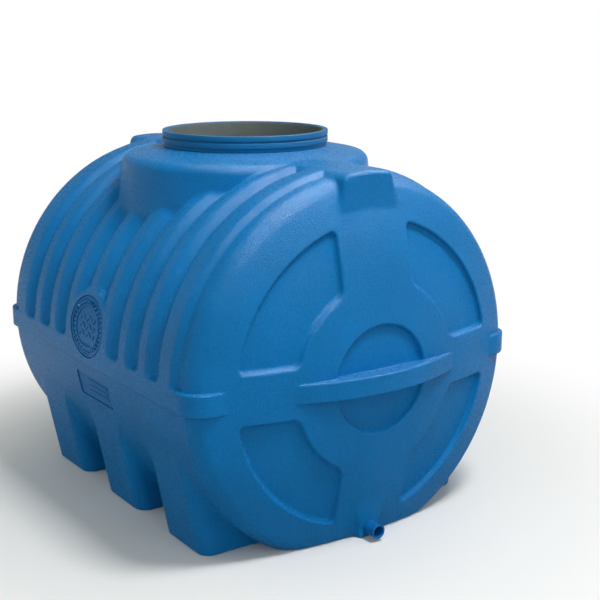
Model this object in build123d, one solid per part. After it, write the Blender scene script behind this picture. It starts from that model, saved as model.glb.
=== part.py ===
"""Horizontal moulded storage tank, about 1500 litres, with an open threaded neck.

Frame: +X points along the barrel to the outlet end, +Z up, the origin is at the
centre of the base, on the floor. All sizes are in millimetres.
The tank is one hollow moulding, so the outside and the inside are made by the same
functions, the inside with an inset of one wall, and the shell between them is cut
into its named pieces, which meet face to face.
"""
from build123d import *
from math import asin, atan2, pi, sqrt, tan
import os

os.makedirs("parts", exist_ok=True)

# Barrel and its dished ends
barrel_radius = 617.0
base_cut = 74.0
barrel_end_x = 654.6
end_bulge = 117.4
knuckle_radius = 60.0
wall = 8.0

# Ribs round the upper half
rib_height = 15.0
rib_setback = 21.0
rib_slope = 10.0
end_rib_width = 82.0
groove_count = 8
groove_depth = 24.0
groove_top_width = 72.0
groove_floor_width = 44.0

# Belt at mid height and its corner lugs
belt_height = 70.0
belt_overhang = 35.4
belt_corner_radius = 85.0
edge_round = 12.0

# Crown beams from the tower to each end
beam_width = 180.0
beam_draft = 0.185
beam_edge_round = 18.0
beam_zone_drop = 32.0
lug_zone_drop = 40.0

# Neck, deck and tower
collar_radius = 284.0
collar_wall = 18.0
collar_height = 54.0
lining_thickness = 3.0
lining_setback = 3.0
thread_land = 18.0
thread_gap = 5.0
thread_depth = 5.0
deck_width = 136.0
deck_rise = 26.0
deck_drop = 8.0
deck_edge_round = 22.0
deck_zone_setback = 16.0
tower_draft = 0.108

# Relief of the end faces, the radii and widths as shares of the barrel's radius
panel_outer_share = 0.78
panel_inner_share = 0.5
centre_share = 0.29
upright_spoke_share = 0.225
level_spoke_share = 0.136
panel_depth = 14.0
panel_corner_round = 26.0

# Ledge across each end face
ledge_height = 62.0
ledge_reach = 37.0

# Feet, with an arch between each two
foot_width = 255.0
foot_setback = 49.0
foot_reach = 207.0
foot_lean_share = 0.84
foot_corner_round = 30.0
arch_drop = 12.0

# Outlet
outlet_radius = 24.0
outlet_bore_radius = 19.0
outlet_height = 34.0
outlet_reach = 67.0
outlet_root = 10.0

# Marks on the left side, their heights from the tank's axis
medallion_radius = 110.0
medallion_rise = 94.0
medallion_pad_width = 19.0
plate_length = 236.0
plate_height = 88.0
plate_fall = 79.0
mark_recess = 3.0
mark_thickness = 2.0
mark_clearance = 1.0

# Sizes that follow from the ones above
axis_height = barrel_radius - base_cut
base_half_width = sqrt(barrel_radius**2 - axis_height**2)
dish_radius = (barrel_radius**2 + end_bulge**2) / (2 * end_bulge)
apex_x = barrel_end_x + end_bulge
shoulder_x = barrel_end_x - knuckle_radius
crest_radius = barrel_radius + rib_height
groove_radius = crest_radius - groove_depth
rib_span_x = shoulder_x - rib_setback
groove_span = 2 * (rib_span_x - end_rib_width) - groove_top_width
groove_pitch = groove_span / (groove_count - 1)
belt_end_x = barrel_end_x + belt_overhang
belt_top = axis_height + belt_height / 2
belt_bottom = axis_height - belt_height / 2
bore_radius = collar_radius - collar_wall
tower_radius = collar_radius + deck_width
deck_height = axis_height + crest_radius - deck_drop
deck_top = deck_height + deck_rise
rim_height = deck_top + collar_height
tower_foot_z = axis_height + barrel_radius / 2
tower_root_radius = tower_radius + tower_draft * (deck_height - tower_foot_z)
panel_outer_radius = panel_outer_share * barrel_radius
panel_inner_radius = panel_inner_share * barrel_radius
centre_recess_radius = centre_share * barrel_radius
upright_spoke_half = upright_spoke_share * barrel_radius
level_spoke_half = level_spoke_share * barrel_radius
foot_end_x = shoulder_x - foot_setback
foot_pitch = foot_end_x - foot_width / 2
arch_radius = (foot_pitch - foot_width) / 2
foot_outer_y = base_half_width + foot_reach
foot_inner_y = base_half_width
medallion_height = axis_height + medallion_rise
plate_top_z = axis_height - plate_fall
dish_radius_at_beam = sqrt(dish_radius**2 - (dish_radius - apex_x + belt_end_x) ** 2)

big = 4 * barrel_radius
tank_axis = Axis((0, 0, axis_height), (1, 0, 0))
face_plane = Plane(origin=(0, 0, axis_height), x_dir=(0, 1, 0), z_dir=(1, 0, 0))

# The feet's outer faces lean a little less than a tangent to the barrel would
foot_to_axis = sqrt(foot_outer_y**2 + axis_height**2)
tangent_angle = atan2(axis_height, -foot_outer_y) - asin(barrel_radius / foot_to_axis)
foot_lean = foot_lean_share * tan(pi / 2 - tangent_angle)
lean_square = 1 + foot_lean**2
lean_half = foot_outer_y * foot_lean - axis_height
lean_rest = foot_outer_y**2 + axis_height**2 - barrel_radius**2
foot_top_z = (-lean_half - sqrt(lean_half**2 - lean_square * lean_rest)) / lean_square


def dish_x(radius):
    """X of the dished face at a distance from the tank's axis."""
    return apex_x - dish_radius + sqrt(dish_radius**2 - radius**2)


def at_radius(x, radius):
    """Point over the tank's axis at a distance from it."""
    return (x, 0, axis_height + radius)


def lathe(outline):
    """Solid turned about the tank's axis from a closed outline above it."""
    return revolve(make_face(outline), tank_axis, 360)


def block(x0, x1, y0, y1, z0, z1):
    """Box between two corners."""
    return Pos((x0 + x1) / 2, (y0 + y1) / 2, (z0 + z1) / 2) * Box(x1 - x0, y1 - y0, z1 - z0)


def upper_half():
    """Everything above the tank's axis."""
    return block(-big, big, -big, big, axis_height, big)


def side_disc(radius, height):
    """Disc seen from the left side, cut deep into the barrel's left wall."""
    depth = barrel_radius / 2
    return Pos(0, -barrel_radius, height) * Rot(90, 0, 0) * Cylinder(radius, depth)


def barrel_skin(outer, inner):
    """Tube about the tank's axis between two radii."""
    tube = Cylinder(outer, 2 * rib_span_x) - Cylinder(inner, 2 * rib_span_x)
    return Pos(0, 0, axis_height) * Rot(0, 90, 0) * tube


def both_ends(front):
    """A piece of the front end together with its mirror image at the rear."""
    return front + mirror(front, about=Plane.YZ)


def end_volume(inset):
    """Barrel with both dished ends, closed, shrunk by an inset on every side."""
    radius = barrel_radius - inset
    knuckle = knuckle_radius - inset
    sphere = dish_radius - inset
    sphere_x = apex_x - dish_radius
    centre_r = radius - knuckle
    knuckle_x = sphere_x + sqrt((sphere - knuckle) ** 2 - centre_r**2)
    outward = Vector(knuckle_x - sphere_x, centre_r).normalized()
    tangent = Vector(knuckle_x, centre_r) + outward * knuckle
    mid_knuckle = Vector(knuckle_x, centre_r) + (outward + Vector(0, 1)).normalized() * knuckle
    mid_dish = Vector(sphere_x + sqrt(sphere**2 - (tangent.Y / 2) ** 2), tangent.Y / 2)
    barrel_end = at_radius(knuckle_x, radius)
    dish_edge = at_radius(tangent.X, tangent.Y)
    apex = at_radius(apex_x - inset, 0)
    outline = Polyline(apex, at_radius(0, 0), at_radius(0, radius), barrel_end)
    outline += ThreePointArc(barrel_end, at_radius(mid_knuckle.X, mid_knuckle.Y), dish_edge)
    outline += ThreePointArc(dish_edge, at_radius(mid_dish.X, mid_dish.Y), apex)
    return both_ends(lathe(outline))


def recess_volume(inset):
    """The four sector recesses and the centre recess of the front face."""
    ring = Circle(panel_outer_radius + inset) - Circle(panel_inner_radius - inset)
    upright = Rectangle(2 * (upright_spoke_half - inset), big)
    level = Rectangle(big, 2 * (level_spoke_half - inset))
    panels = ring - upright - level
    panels = fillet(panels.vertices(), panel_corner_round)
    centre = Circle(centre_recess_radius + inset)
    sphere_x = apex_x - dish_radius
    floor_radius = dish_radius - panel_depth - inset
    edge = (panel_outer_radius + barrel_radius) / 2
    outer_x = apex_x + panel_depth

    def floor_point(radius):
        return at_radius(sphere_x + sqrt(floor_radius**2 - radius**2), radius)

    outline = ThreePointArc(floor_point(0), floor_point(edge / 2), floor_point(edge))
    outline += Polyline(floor_point(edge), at_radius(outer_x, edge), at_radius(outer_x, 0), floor_point(0))
    beyond_floor = lathe(outline)
    return [extrude(face_plane * shape, big) & beyond_floor for shape in (centre, panels)]


def groove_volume(inset):
    """Rings between the ribs, stopped by the round pad that carries the medallion."""
    crest = crest_radius + rib_height
    floor = groove_radius - inset
    top = groove_top_width / 2 + inset / 2
    low = groove_floor_width / 2 + inset / 2
    wide = top + (top - low) * rib_height / groove_depth
    pad = side_disc(medallion_radius + medallion_pad_width - inset, medallion_height)
    grooves = []
    for index in range(groove_count):
        x = (index - (groove_count - 1) / 2) * groove_pitch
        outline = Polyline(
            at_radius(x - wide, crest),
            at_radius(x - low, floor),
            at_radius(x + low, floor),
            at_radius(x + wide, crest),
            close=True,
        )
        grooves.append((lathe(outline) & upper_half()) - pad)
    return grooves


def crest_volume(inset):
    """Drum at the height of the rib crests over the upper half of the barrel."""
    crest = crest_radius - inset
    foot = crest - rib_height
    end = rib_span_x - inset
    foot_end = end + rib_slope
    outline = Polyline(
        at_radius(-foot_end, 0),
        at_radius(-foot_end, foot),
        at_radius(-end, crest),
        at_radius(end, crest),
        at_radius(foot_end, foot),
        at_radius(foot_end, 0),
        close=True,
    )
    return lathe(outline) & upper_half()


def belt_volume(inset):
    """Rounded rectangle in plan that squares off the ends of the barrel."""
    plan = RectangleRounded(
        2 * (belt_end_x - inset), 2 * (crest_radius - inset), belt_corner_radius - inset
    )
    height = belt_height - 2 * inset
    band = extrude(plan, height)
    rims = band.edges().filter_by(GeomType.LINE, reverse=True).filter_by(Axis.Z, reverse=True)
    rims += band.edges().filter_by(Axis.X) + band.edges().filter_by(Axis.Y)
    band = fillet(rims, edge_round - inset)
    return Pos(0, 0, axis_height - height / 2) * band


def beam_volume(inset):
    """Crown beam with flared sides and a top that follows the rib crests."""
    crest = crest_radius - inset
    foot_z = axis_height + barrel_radius / 2
    top_z = axis_height + crest_radius
    half = beam_width / 2 - inset
    foot_half = half + beam_draft * (top_z - foot_z)
    section = Polyline(
        (0, -foot_half, foot_z), (0, -half, top_z), (0, half, top_z), (0, foot_half, foot_z), close=True
    )
    length = 2 * (belt_end_x - inset)
    bar = extrude(make_face(section), length / 2, dir=(1, 0, 0), both=True)
    drum = Cylinder(crest, length)
    drum = fillet(drum.edges().filter_by(GeomType.CIRCLE), beam_edge_round - inset)
    return bar & (Pos(0, 0, axis_height) * Rot(0, 90, 0) * drum)


def tower_volume(inset):
    """Flared round tower with its sloping deck."""
    root = (tower_root_radius - inset, 0, tower_foot_z)
    shoulder = (tower_radius - inset, 0, deck_height - inset)
    collar_foot = (collar_radius, 0, deck_top - inset)
    middle = (0, 0, deck_top - inset)
    outline = Polyline((0, 0, tower_foot_z), root, shoulder, collar_foot, middle, close=True)
    section = make_face(outline)
    corner = section.vertices().sort_by_distance(shoulder)[0]
    return revolve(fillet(corner, deck_edge_round - inset), Axis.Z, 360)


def foot_volume(inset, side):
    """The feet of one side: a leaning skirt with an arch cut between each two feet."""
    outer = foot_outer_y - inset
    inner = foot_inner_y + inset
    length = 2 * (foot_end_x - inset)
    corner = foot_corner_round - inset
    sections = []
    for z in (inset, foot_top_z + wall):
        width = outer + foot_lean * z - inner
        plan = RectangleRounded(length, width, corner)
        sections.append(Pos(0, side * (inner + width / 2), z) * plan)
    skirt = loft(sections)
    gap = arch_radius + inset
    for x in (-foot_pitch / 2, foot_pitch / 2):
        arch_z = foot_top_z - arch_drop - arch_radius
        arch = Pos(x, 0, arch_z) * Rot(90, 0, 0) * Cylinder(gap, big)
        arch += block(x - gap, x + gap, -big, big, -big, arch_z)
        skirt -= arch
    return skirt


def ledge_volume(inset):
    """Lens-shaped shelf across the front face."""
    tip_y = panel_inner_radius - inset
    tip_x = dish_x(panel_inner_radius)
    nose = (apex_x + ledge_reach - inset, 0)
    front = ThreePointArc((tip_x, -tip_y), nose, (tip_x, tip_y))
    back_x = tip_x - panel_depth - wall
    back = Polyline((tip_x, tip_y), (back_x, tip_y), (back_x, -tip_y), (tip_x, -tip_y))
    height = ledge_height - 2 * inset
    return Pos(0, 0, axis_height - height / 2) * extrude(make_face(front + back), height)


def moulding(inset):
    """The whole tank body, closed, shrunk by an inset on every side."""
    body = end_volume(inset)
    for recess in recess_volume(inset):
        body -= recess
        body -= mirror(recess, about=Plane.YZ)
    body += crest_volume(inset)
    for groove in groove_volume(inset):
        body -= groove
    body += belt_volume(inset)
    body += beam_volume(inset)
    body += tower_volume(inset)
    for side in (-1, 1):
        body += foot_volume(inset, side)
    body += both_ends(ledge_volume(inset))
    return body & block(-big, big, -big, big, inset, big)


def collar_volume():
    """Neck collar with two thread lands and an undercut above the deck."""
    neck = collar_radius - thread_depth
    lower_land = rim_height - 2 * thread_land - thread_gap
    upper_land = rim_height - thread_land
    points = [
        (bore_radius, deck_top),
        (neck, deck_top),
        (neck, lower_land - thread_gap),
        (collar_radius, lower_land),
        (collar_radius, lower_land + thread_land),
        (neck, lower_land + thread_land),
        (neck, upper_land),
        (collar_radius, upper_land),
        (collar_radius, rim_height),
        (bore_radius, rim_height),
    ]
    outline = Polyline(*[(r, 0, z) for r, z in points], close=True)
    return revolve(make_face(outline), Axis.Z, 360)


def ring(radius, hole, z0, z1):
    """Upright ring between two heights."""
    return Pos(0, 0, (z0 + z1) / 2) * (Cylinder(radius, z1 - z0) - Cylinder(hole, z1 - z0))


def along_x(radius, x0, x1, y, z):
    """Round bar along X between two ends."""
    return Pos((x0 + x1) / 2, y, z) * Rot(0, 90, 0) * Cylinder(radius, x1 - x0)


def save(solid, name):
    """Write one named piece."""
    solid.label = name
    export_step(solid, "parts/" + name + ".step")


# Outside, inside and the openings of the shell
neck_hole = Pos(0, 0, deck_top) * Cylinder(bore_radius, 2 * collar_height)
outlet_face_x = dish_x(axis_height - outlet_height)
outlet_reach_x = outlet_face_x + outlet_reach
outlet_bar = along_x(outlet_radius, outlet_face_x - outlet_root, outlet_reach_x, 0, outlet_height)
outlet_bore = along_x(outlet_bore_radius, shoulder_x, big, 0, outlet_height)
medallion_floor = crest_radius - mark_recess
medallion_recess = side_disc(medallion_radius, medallion_height)
medallion_recess &= barrel_skin(crest_radius + mark_recess, medallion_floor)
plate_floor = barrel_radius - mark_recess
plate_low_z = plate_top_z - plate_height
plate_zone = block(-plate_length / 2, plate_length / 2, -big, 0, plate_low_z, plate_top_z)
plate_recess = plate_zone & barrel_skin(barrel_radius + mark_recess, plate_floor)
shell = moulding(0) - moulding(wall) - neck_hole
shell = shell - outlet_bar - outlet_bore - medallion_recess - plate_recess

# The planes and cylinders that part the shell into its pieces, a margin off its edges
margin = wall
tower_zone_radius = tower_root_radius + margin
deck_zone_radius = tower_radius - deck_zone_setback
zone_height = 2 * crest_radius
beam_visible_height = crest_radius - dish_radius_at_beam
beam_zone_half = beam_width / 2 + beam_draft * beam_visible_height + margin
beam_zone_low = axis_height + dish_radius_at_beam - beam_zone_drop
dish_zone_radius = (panel_outer_radius + barrel_radius) / 2
lug_zone_y = dish_radius_at_beam - lug_zone_drop
belt_zone_low = belt_bottom - margin
belt_zone_top = belt_top + margin
ledge_half = ledge_height / 2 + margin
ledge_tip = panel_inner_radius + margin
foot_half = foot_width / 2 + margin
base_half = base_half_width - margin

front = block(0, big, -big, big, 0, big)
rear = block(-big, 0, -big, big, 0, big)
left = block(-big, big, -big, 0, 0, big)
right = block(-big, big, 0, big, 0, big)

tower_zone = Pos(0, 0, deck_top) * Cylinder(tower_zone_radius, zone_height)
deck_zone = Pos(0, 0, deck_top) * Cylinder(deck_zone_radius, zone_height)
tower = shell & tower_zone
save(tower - deck_zone, "tower_wall")
save(tower & deck_zone, "tower_deck")
rest = shell - tower_zone

beam_zone = block(-big, big, -beam_zone_half, beam_zone_half, beam_zone_low, big)
beams = rest & beam_zone
save(beams & front, "crown_beam_front")
save(beams & rear, "crown_beam_rear")
rest = rest - beam_zone

ledge_zone = block(
    shoulder_x, big, -ledge_tip, ledge_tip, axis_height - ledge_half, axis_height + ledge_half
)
save(rest & ledge_zone, "end_ledge_front")
save(rest & mirror(ledge_zone, about=Plane.YZ), "end_ledge_rear")
rest = rest - both_ends(ledge_zone)

belt_zone = block(-big, big, -big, -lug_zone_y, belt_zone_low, belt_zone_top)
belt_zone += block(-big, big, lug_zone_y, big, belt_zone_low, belt_zone_top)
belts = rest & belt_zone
rest = rest - belt_zone
middle = block(-shoulder_x, shoulder_x, -big, big, 0, big)
for side_name, side in (("left", left), ("right", right)):
    save(belts & middle & side, "side_belt_" + side_name)
    save((belts - middle) & front & side, "lug_" + side_name + "_front")
    save((belts - middle) & rear & side, "lug_" + side_name + "_rear")

foot_names = {-1: "rear", 0: "middle", 1: "front"}
for index, along in foot_names.items():
    x = index * foot_pitch
    for side_name, low_y, high_y in (("left", -big, -foot_inner_y), ("right", foot_inner_y, big)):
        foot_zone = block(x - foot_half, x + foot_half, low_y, high_y, 0, foot_top_z)
        save(rest & foot_zone, "foot_" + side_name + "_" + along)
        rest = rest - foot_zone

dish_zone = Pos(0, 0, axis_height) * Rot(0, 90, 0) * Cylinder(dish_zone_radius, big)
above = block(-big, big, -big, big, axis_height, big)
for end_name, end in (("front", front), ("rear", rear)):
    wall_part = (rest - middle) & end
    save(wall_part & dish_zone, end_name + "_end_wall")
    shoulder = wall_part - dish_zone
    for side_name, side in (("left", left), ("right", right)):
        save(shoulder & above & side, "shoulder_" + end_name + "_" + side_name)
        save((shoulder - above) & side, "haunch_" + end_name + "_" + side_name)

barrel = rest & middle
save(barrel & above & left, "upper_wall_left")
save(barrel & above & right, "upper_wall_right")
lower = barrel - above
save(lower & block(-big, big, -base_half, base_half, 0, big), "base_pan")
save(lower & block(-big, big, -big, -base_half, 0, big), "lower_wall_left")
save(lower & block(-big, big, base_half, big, 0, big), "lower_wall_right")

# Pieces that are fitted to the moulding
save(collar_volume(), "neck_collar")
lining_high = rim_height - lining_setback
save(ring(bore_radius, bore_radius - lining_thickness, deck_top - wall, lining_high), "neck_lining")
save(outlet_bar - outlet_bore, "outlet_spout")
medallion_skin = barrel_skin(medallion_floor + mark_thickness, medallion_floor)
medallion_disc = side_disc(medallion_radius - mark_clearance, medallion_height)
save(medallion_disc & medallion_skin, "medallion")
plate_half = plate_length / 2 - mark_clearance
plate_block = block(
    -plate_half, plate_half, -big, 0, plate_low_z + mark_clearance, plate_top_z - mark_clearance
)
save(plate_block & barrel_skin(plate_floor + mark_thickness, plate_floor), "side_plate")
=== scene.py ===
"""Dressed model of a horizontal moulded storage tank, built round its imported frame.

The tank's body is one hollow moulding. Each of its sub-assemblies gives its outer form as a
signed distance, the forms are blended with the soft edges of rotational moulding, and the
blended skin is meshed outside and inside and parted into closed pieces. Sizes are in metres.
"""

import logging
import math
from dataclasses import dataclass, field
from enum import Enum
from typing import Callable

import bmesh
import bpy
import numpy as np
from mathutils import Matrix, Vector


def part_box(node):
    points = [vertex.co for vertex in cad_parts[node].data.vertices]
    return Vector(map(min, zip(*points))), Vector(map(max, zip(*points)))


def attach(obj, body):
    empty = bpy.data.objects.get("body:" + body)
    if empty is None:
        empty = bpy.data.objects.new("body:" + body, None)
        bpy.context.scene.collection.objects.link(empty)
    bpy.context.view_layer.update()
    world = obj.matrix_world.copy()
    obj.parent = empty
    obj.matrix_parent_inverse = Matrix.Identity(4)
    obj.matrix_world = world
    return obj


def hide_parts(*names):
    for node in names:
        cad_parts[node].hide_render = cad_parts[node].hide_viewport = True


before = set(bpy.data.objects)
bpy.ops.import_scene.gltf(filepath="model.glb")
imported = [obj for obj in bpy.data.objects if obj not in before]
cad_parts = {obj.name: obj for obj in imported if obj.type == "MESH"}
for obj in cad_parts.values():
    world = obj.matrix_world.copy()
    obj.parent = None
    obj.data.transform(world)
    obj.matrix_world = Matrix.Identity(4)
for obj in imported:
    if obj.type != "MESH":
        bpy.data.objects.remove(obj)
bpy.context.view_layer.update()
LOG = logging.getLogger("tank")
BODY = "root"
Array = np.ndarray
Socket = bpy.types.NodeSocket
Colour = tuple[float, float, float, float]
Spot = tuple[float, float, float]
WHITE: Colour = (1.0, 1.0, 1.0, 1.0)
SHARP_ANGLE = math.radians(40)


def joined(a: Array, b: Array, r: float | Array) -> Array:
    """Union of two distances with a concave fillet of radius r."""
    corner = np.hypot(np.maximum(r - a, 0), np.maximum(r - b, 0))
    return np.maximum(r, np.minimum(a, b)) - corner


def common(a: Array, b: Array, r: float) -> Array:
    """Intersection of two distances with a rounded edge of radius r."""
    corner = np.hypot(np.maximum(r + a, 0), np.maximum(r + b, 0))
    return np.minimum(-r, np.maximum(a, b)) + corner


def without(a: Array, b: Array, r: float) -> Array:
    """Distance a with b cut out of it, its edge rounded by r."""
    return common(a, -b, r)


def rounded_box_2d(u: Array, v: Array, half_u: float, half_v: float, r: float) -> Array:
    """Distance to a rectangle with rounded corners, centred on the origin.

    Args:
        u: First coordinate of the points.
        v: Second coordinate of the points.
        half_u: Half the rectangle's size along the first.
        half_v: Half its size along the second.
        r: Radius of its corners.

    Returns:
        The signed distance.
    """
    over_u = np.abs(u) - (half_u - r)
    over_v = np.abs(v) - (half_v - r)
    outside = np.hypot(np.maximum(over_u, 0), np.maximum(over_v, 0))
    return outside + np.minimum(np.maximum(over_u, over_v), 0) - r


def triangle_edges(faces: Array) -> Array:
    """The first, second and third directed edges of triangles."""
    return np.concatenate([faces[:, [0, 1]], faces[:, [1, 2]], faces[:, [2, 0]]])


def placed(name: str, data: bpy.types.ID) -> bpy.types.Object:
    """Put a mesh, a lamp or a camera into the scene.

    Args:
        name: The object's name.
        data: What it holds.

    Returns:
        The new object, at the origin.
    """
    piece = bpy.data.objects.new(name, data)
    bpy.context.scene.collection.objects.link(piece)
    return piece


def smoothed(name: str, mesh: bpy.types.Mesh, tools: bmesh.types.BMesh) -> bpy.types.Object:
    """Turn faces outwards, shade them smooth up to sharp edges and place the piece.

    Args:
        name: The object's name.
        mesh: The mesh that takes the faces.
        tools: The faces, which are freed.

    Returns:
        The new object.
    """
    bmesh.ops.recalc_face_normals(tools, faces=tools.faces)
    tools.to_mesh(mesh)
    tools.free()
    mesh.shade_smooth()
    mesh.set_sharp_from_angle(angle=SHARP_ANGLE)
    return placed(name, mesh)


@dataclass(frozen=True)
class Barrel:
    """Round barrel with dished ends, and the ribs over its upper half."""

    radius: float = 0.617
    base_cut: float = 0.074
    end_x: float = 0.6546
    bulge: float = 0.1174
    knuckle: float = 0.040
    base_round: float = 0.007
    rib_height: float = 0.015
    rib_end_x: float = 0.5730
    rib_end_round: float = 0.012
    rib_end_slope: float = 0.66
    rib_end_fillet: float = 0.009
    groove_count: int = 8
    groove_pitch: float = 0.130
    groove_depth: float = 0.024
    groove_top_half: float = 0.032
    groove_floor_half: float = 0.011
    crest_round: float = 0.015
    floor_round: float = 0.016

    @property
    def axis_z(self) -> float:
        """Height of the barrel's axis."""
        return self.radius - self.base_cut

    @property
    def crest(self) -> float:
        """Radius of the rib crests."""
        return self.radius + self.rib_height

    @property
    def dish_radius(self) -> float:
        """Radius of the dished ends."""
        return (self.radius**2 + self.bulge**2) / (2 * self.bulge)

    @property
    def apex_x(self) -> float:
        """How far the dished ends reach."""
        return self.end_x + self.bulge

    def axis_distance(self, p: Array) -> Array:
        """Distance from the barrel's axis."""
        return np.hypot(p[1], p[2] - self.axis_z)

    def dish_distance(self, p: Array) -> Array:
        """Distance from the sphere of the nearer dished end."""
        centre = self.dish_radius - self.apex_x
        return np.hypot(np.abs(p[0]) + centre, self.axis_distance(p)) - self.dish_radius

    def dish_x(self, radius: float) -> float:
        """X of the dished end at a distance from the axis."""
        return self.apex_x - self.dish_radius + math.sqrt(self.dish_radius**2 - radius**2)

    def body(self, p: Array) -> Array:
        """Barrel and dished ends, with their knuckle rounded."""
        return common(self.axis_distance(p) - self.radius, self.dish_distance(p), self.knuckle)

    def crests(self, p: Array) -> Array:
        """Drum at the height of the rib crests, over the upper half.

        Args:
            p: The points as three rows.

        Returns:
            The signed distance.
        """
        radius = self.axis_distance(p)
        drop = np.clip(self.crest - radius, 0, 2 * self.rib_height)
        along = np.abs(p[0]) - self.rib_end_x - self.rib_end_slope * drop
        along = along / math.hypot(1, self.rib_end_slope)
        drum = common(radius - self.crest, along, self.rib_end_round)
        return np.maximum(drum, self.axis_z - p[2])

    def grooves(self, p: Array, belt_top: float) -> Array:
        """The grooves between the ribs, as the space that they take away.

        Args:
            p: The points as three rows.
            belt_top: Height below which there is no groove.

        Returns:
            The signed distance.
        """
        first = -self.groove_pitch * (self.groove_count - 1) / 2
        index = np.clip(np.round((p[0] - first) / self.groove_pitch), 0, self.groove_count - 1)
        offset = np.abs(p[0] - first - index * self.groove_pitch)
        depth = self.crest - self.groove_depth
        slope = (self.groove_top_half - self.groove_floor_half) / self.groove_depth
        height = self.axis_distance(p) - depth
        flank = (offset - self.groove_floor_half - height * slope) / math.hypot(1, slope)
        void = common(flank, -height, self.floor_round)
        return common(void, belt_top - p[2], self.crest_round)


@dataclass(frozen=True)
class EndRelief:
    """Sector and centre recesses of the dished ends, and the ledge across each."""

    outer_radius: float = 0.4813
    inner_radius: float = 0.3085
    centre_radius: float = 0.166
    upright_half: float = 0.139
    level_half: float = 0.084
    depth: float = 0.017
    corner_round: float = 0.017
    lip_round: float = 0.0065
    floor_round: float = 0.009
    draft: float = 0.34
    ledge_half: float = 0.031
    ledge_reach: float = 0.037
    ledge_round: float = 0.004
    ledge_fillet: float = 0.0025

    def recesses(self, p: Array, barrel: Barrel) -> Array:
        """The recesses of both ends, as the space that they take away.

        Args:
            p: The points as three rows.
            barrel: The barrel whose ends they lie in.

        Returns:
            The signed distance.
        """
        y = np.abs(p[1])
        z = np.abs(p[2] - barrel.axis_z)
        radius = np.hypot(y, z)
        ring = common(radius - self.outer_radius, self.inner_radius - radius, self.corner_round)
        spokes = common(self.upright_half - y, self.level_half - z, self.corner_round)
        panels = common(ring, spokes, self.corner_round)
        outline = np.minimum(panels, radius - self.centre_radius)
        height = barrel.dish_distance(p) + self.depth
        walls = outline - height * self.draft
        return common(walls, -height, self.floor_round)

    def ledges(self, p: Array, barrel: Barrel) -> Array:
        """The lens-shaped shelves of both ends.

        Args:
            p: The points as three rows.
            barrel: The barrel whose ends carry them.

        Returns:
            The signed distance.
        """
        tip_x = barrel.dish_x(self.inner_radius)
        rise = barrel.apex_x + self.ledge_reach - tip_x
        curve = (self.inner_radius**2 + rise**2) / (2 * rise)
        centre = tip_x + rise - curve
        plan = np.hypot(np.abs(p[0]) - centre, p[1]) - curve
        plan = np.maximum(plan, tip_x - 4 * self.ledge_reach - np.abs(p[0]))
        level = np.abs(p[2] - barrel.axis_z) - self.ledge_half
        return common(plan, level, self.ledge_round)


@dataclass(frozen=True)
class Belt:
    """Belt at mid height, which squares off the barrel's corners in lugs."""

    half_height: float = 0.035
    end_x: float = 0.690
    corner: float = 0.085
    edge_round: float = 0.005
    fillet: float = 0.002

    def shape(self, p: Array, barrel: Barrel) -> Array:
        """The belt with its rounded edges."""
        plan = rounded_box_2d(p[0], p[1], self.end_x, barrel.crest, self.corner)
        return common(plan, np.abs(p[2] - barrel.axis_z) - self.half_height, self.edge_round)


@dataclass(frozen=True)
class CrownBeams:
    """Beam along the crown, from the tower to each end."""

    half_width: float = 0.090
    draft: float = 0.185
    end_x: float = 0.690
    top_round: float = 0.020
    front_round: float = 0.014
    fillet: float = 0.012

    def shape(self, p: Array, barrel: Barrel) -> tuple[Array, Array]:
        """Both beams with their flared sides.

        Args:
            p: The points as three rows.
            barrel: The barrel that they lie on.

        Returns:
            The distance, and how far each point belongs to a side, from 0 to 1.
        """
        top_z = barrel.axis_z + barrel.crest
        side = np.abs(p[1]) - self.half_width - self.draft * (top_z - p[2])
        side = side / math.hypot(1, self.draft)
        front = np.abs(p[0]) - self.end_x
        bar = common(side, barrel.axis_distance(p) - barrel.crest, self.top_round)
        bar = common(bar, front, self.front_round)
        share = np.clip((side - front) / self.front_round + 0.5, 0, 1)
        return np.maximum(bar, barrel.axis_z + barrel.radius / 2 - p[2]), share


@dataclass(frozen=True)
class Tower:
    """Round tower with a sloping deck that carries the neck."""

    radius: float = 0.420
    draft: float = 0.108
    deck_drop: float = 0.008
    deck_rise: float = 0.026
    collar_radius: float = 0.284
    edge_round: float = 0.025
    root_fillet: float = 0.008

    def deck_z(self, barrel: Barrel) -> float:
        """Height of the deck's edge."""
        return barrel.axis_z + barrel.crest - self.deck_drop

    def shape(self, p: Array, barrel: Barrel) -> Array:
        """The tower with its deck.

        Args:
            p: The points as three rows.
            barrel: The barrel that it stands on.

        Returns:
            The signed distance.
        """
        radius = np.hypot(p[0], p[1])
        edge_z = self.deck_z(barrel)
        wall = (radius - self.radius - self.draft * (edge_z - p[2])) / math.hypot(1, self.draft)
        slope = self.deck_rise / (self.radius - self.collar_radius)
        top = edge_z + slope * (self.radius - np.maximum(radius, self.collar_radius))
        deck = (p[2] - top) / math.hypot(1, slope)
        tower = common(wall, deck, self.edge_round)
        return np.maximum(tower, barrel.axis_z + barrel.radius / 2 - p[2])


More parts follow.
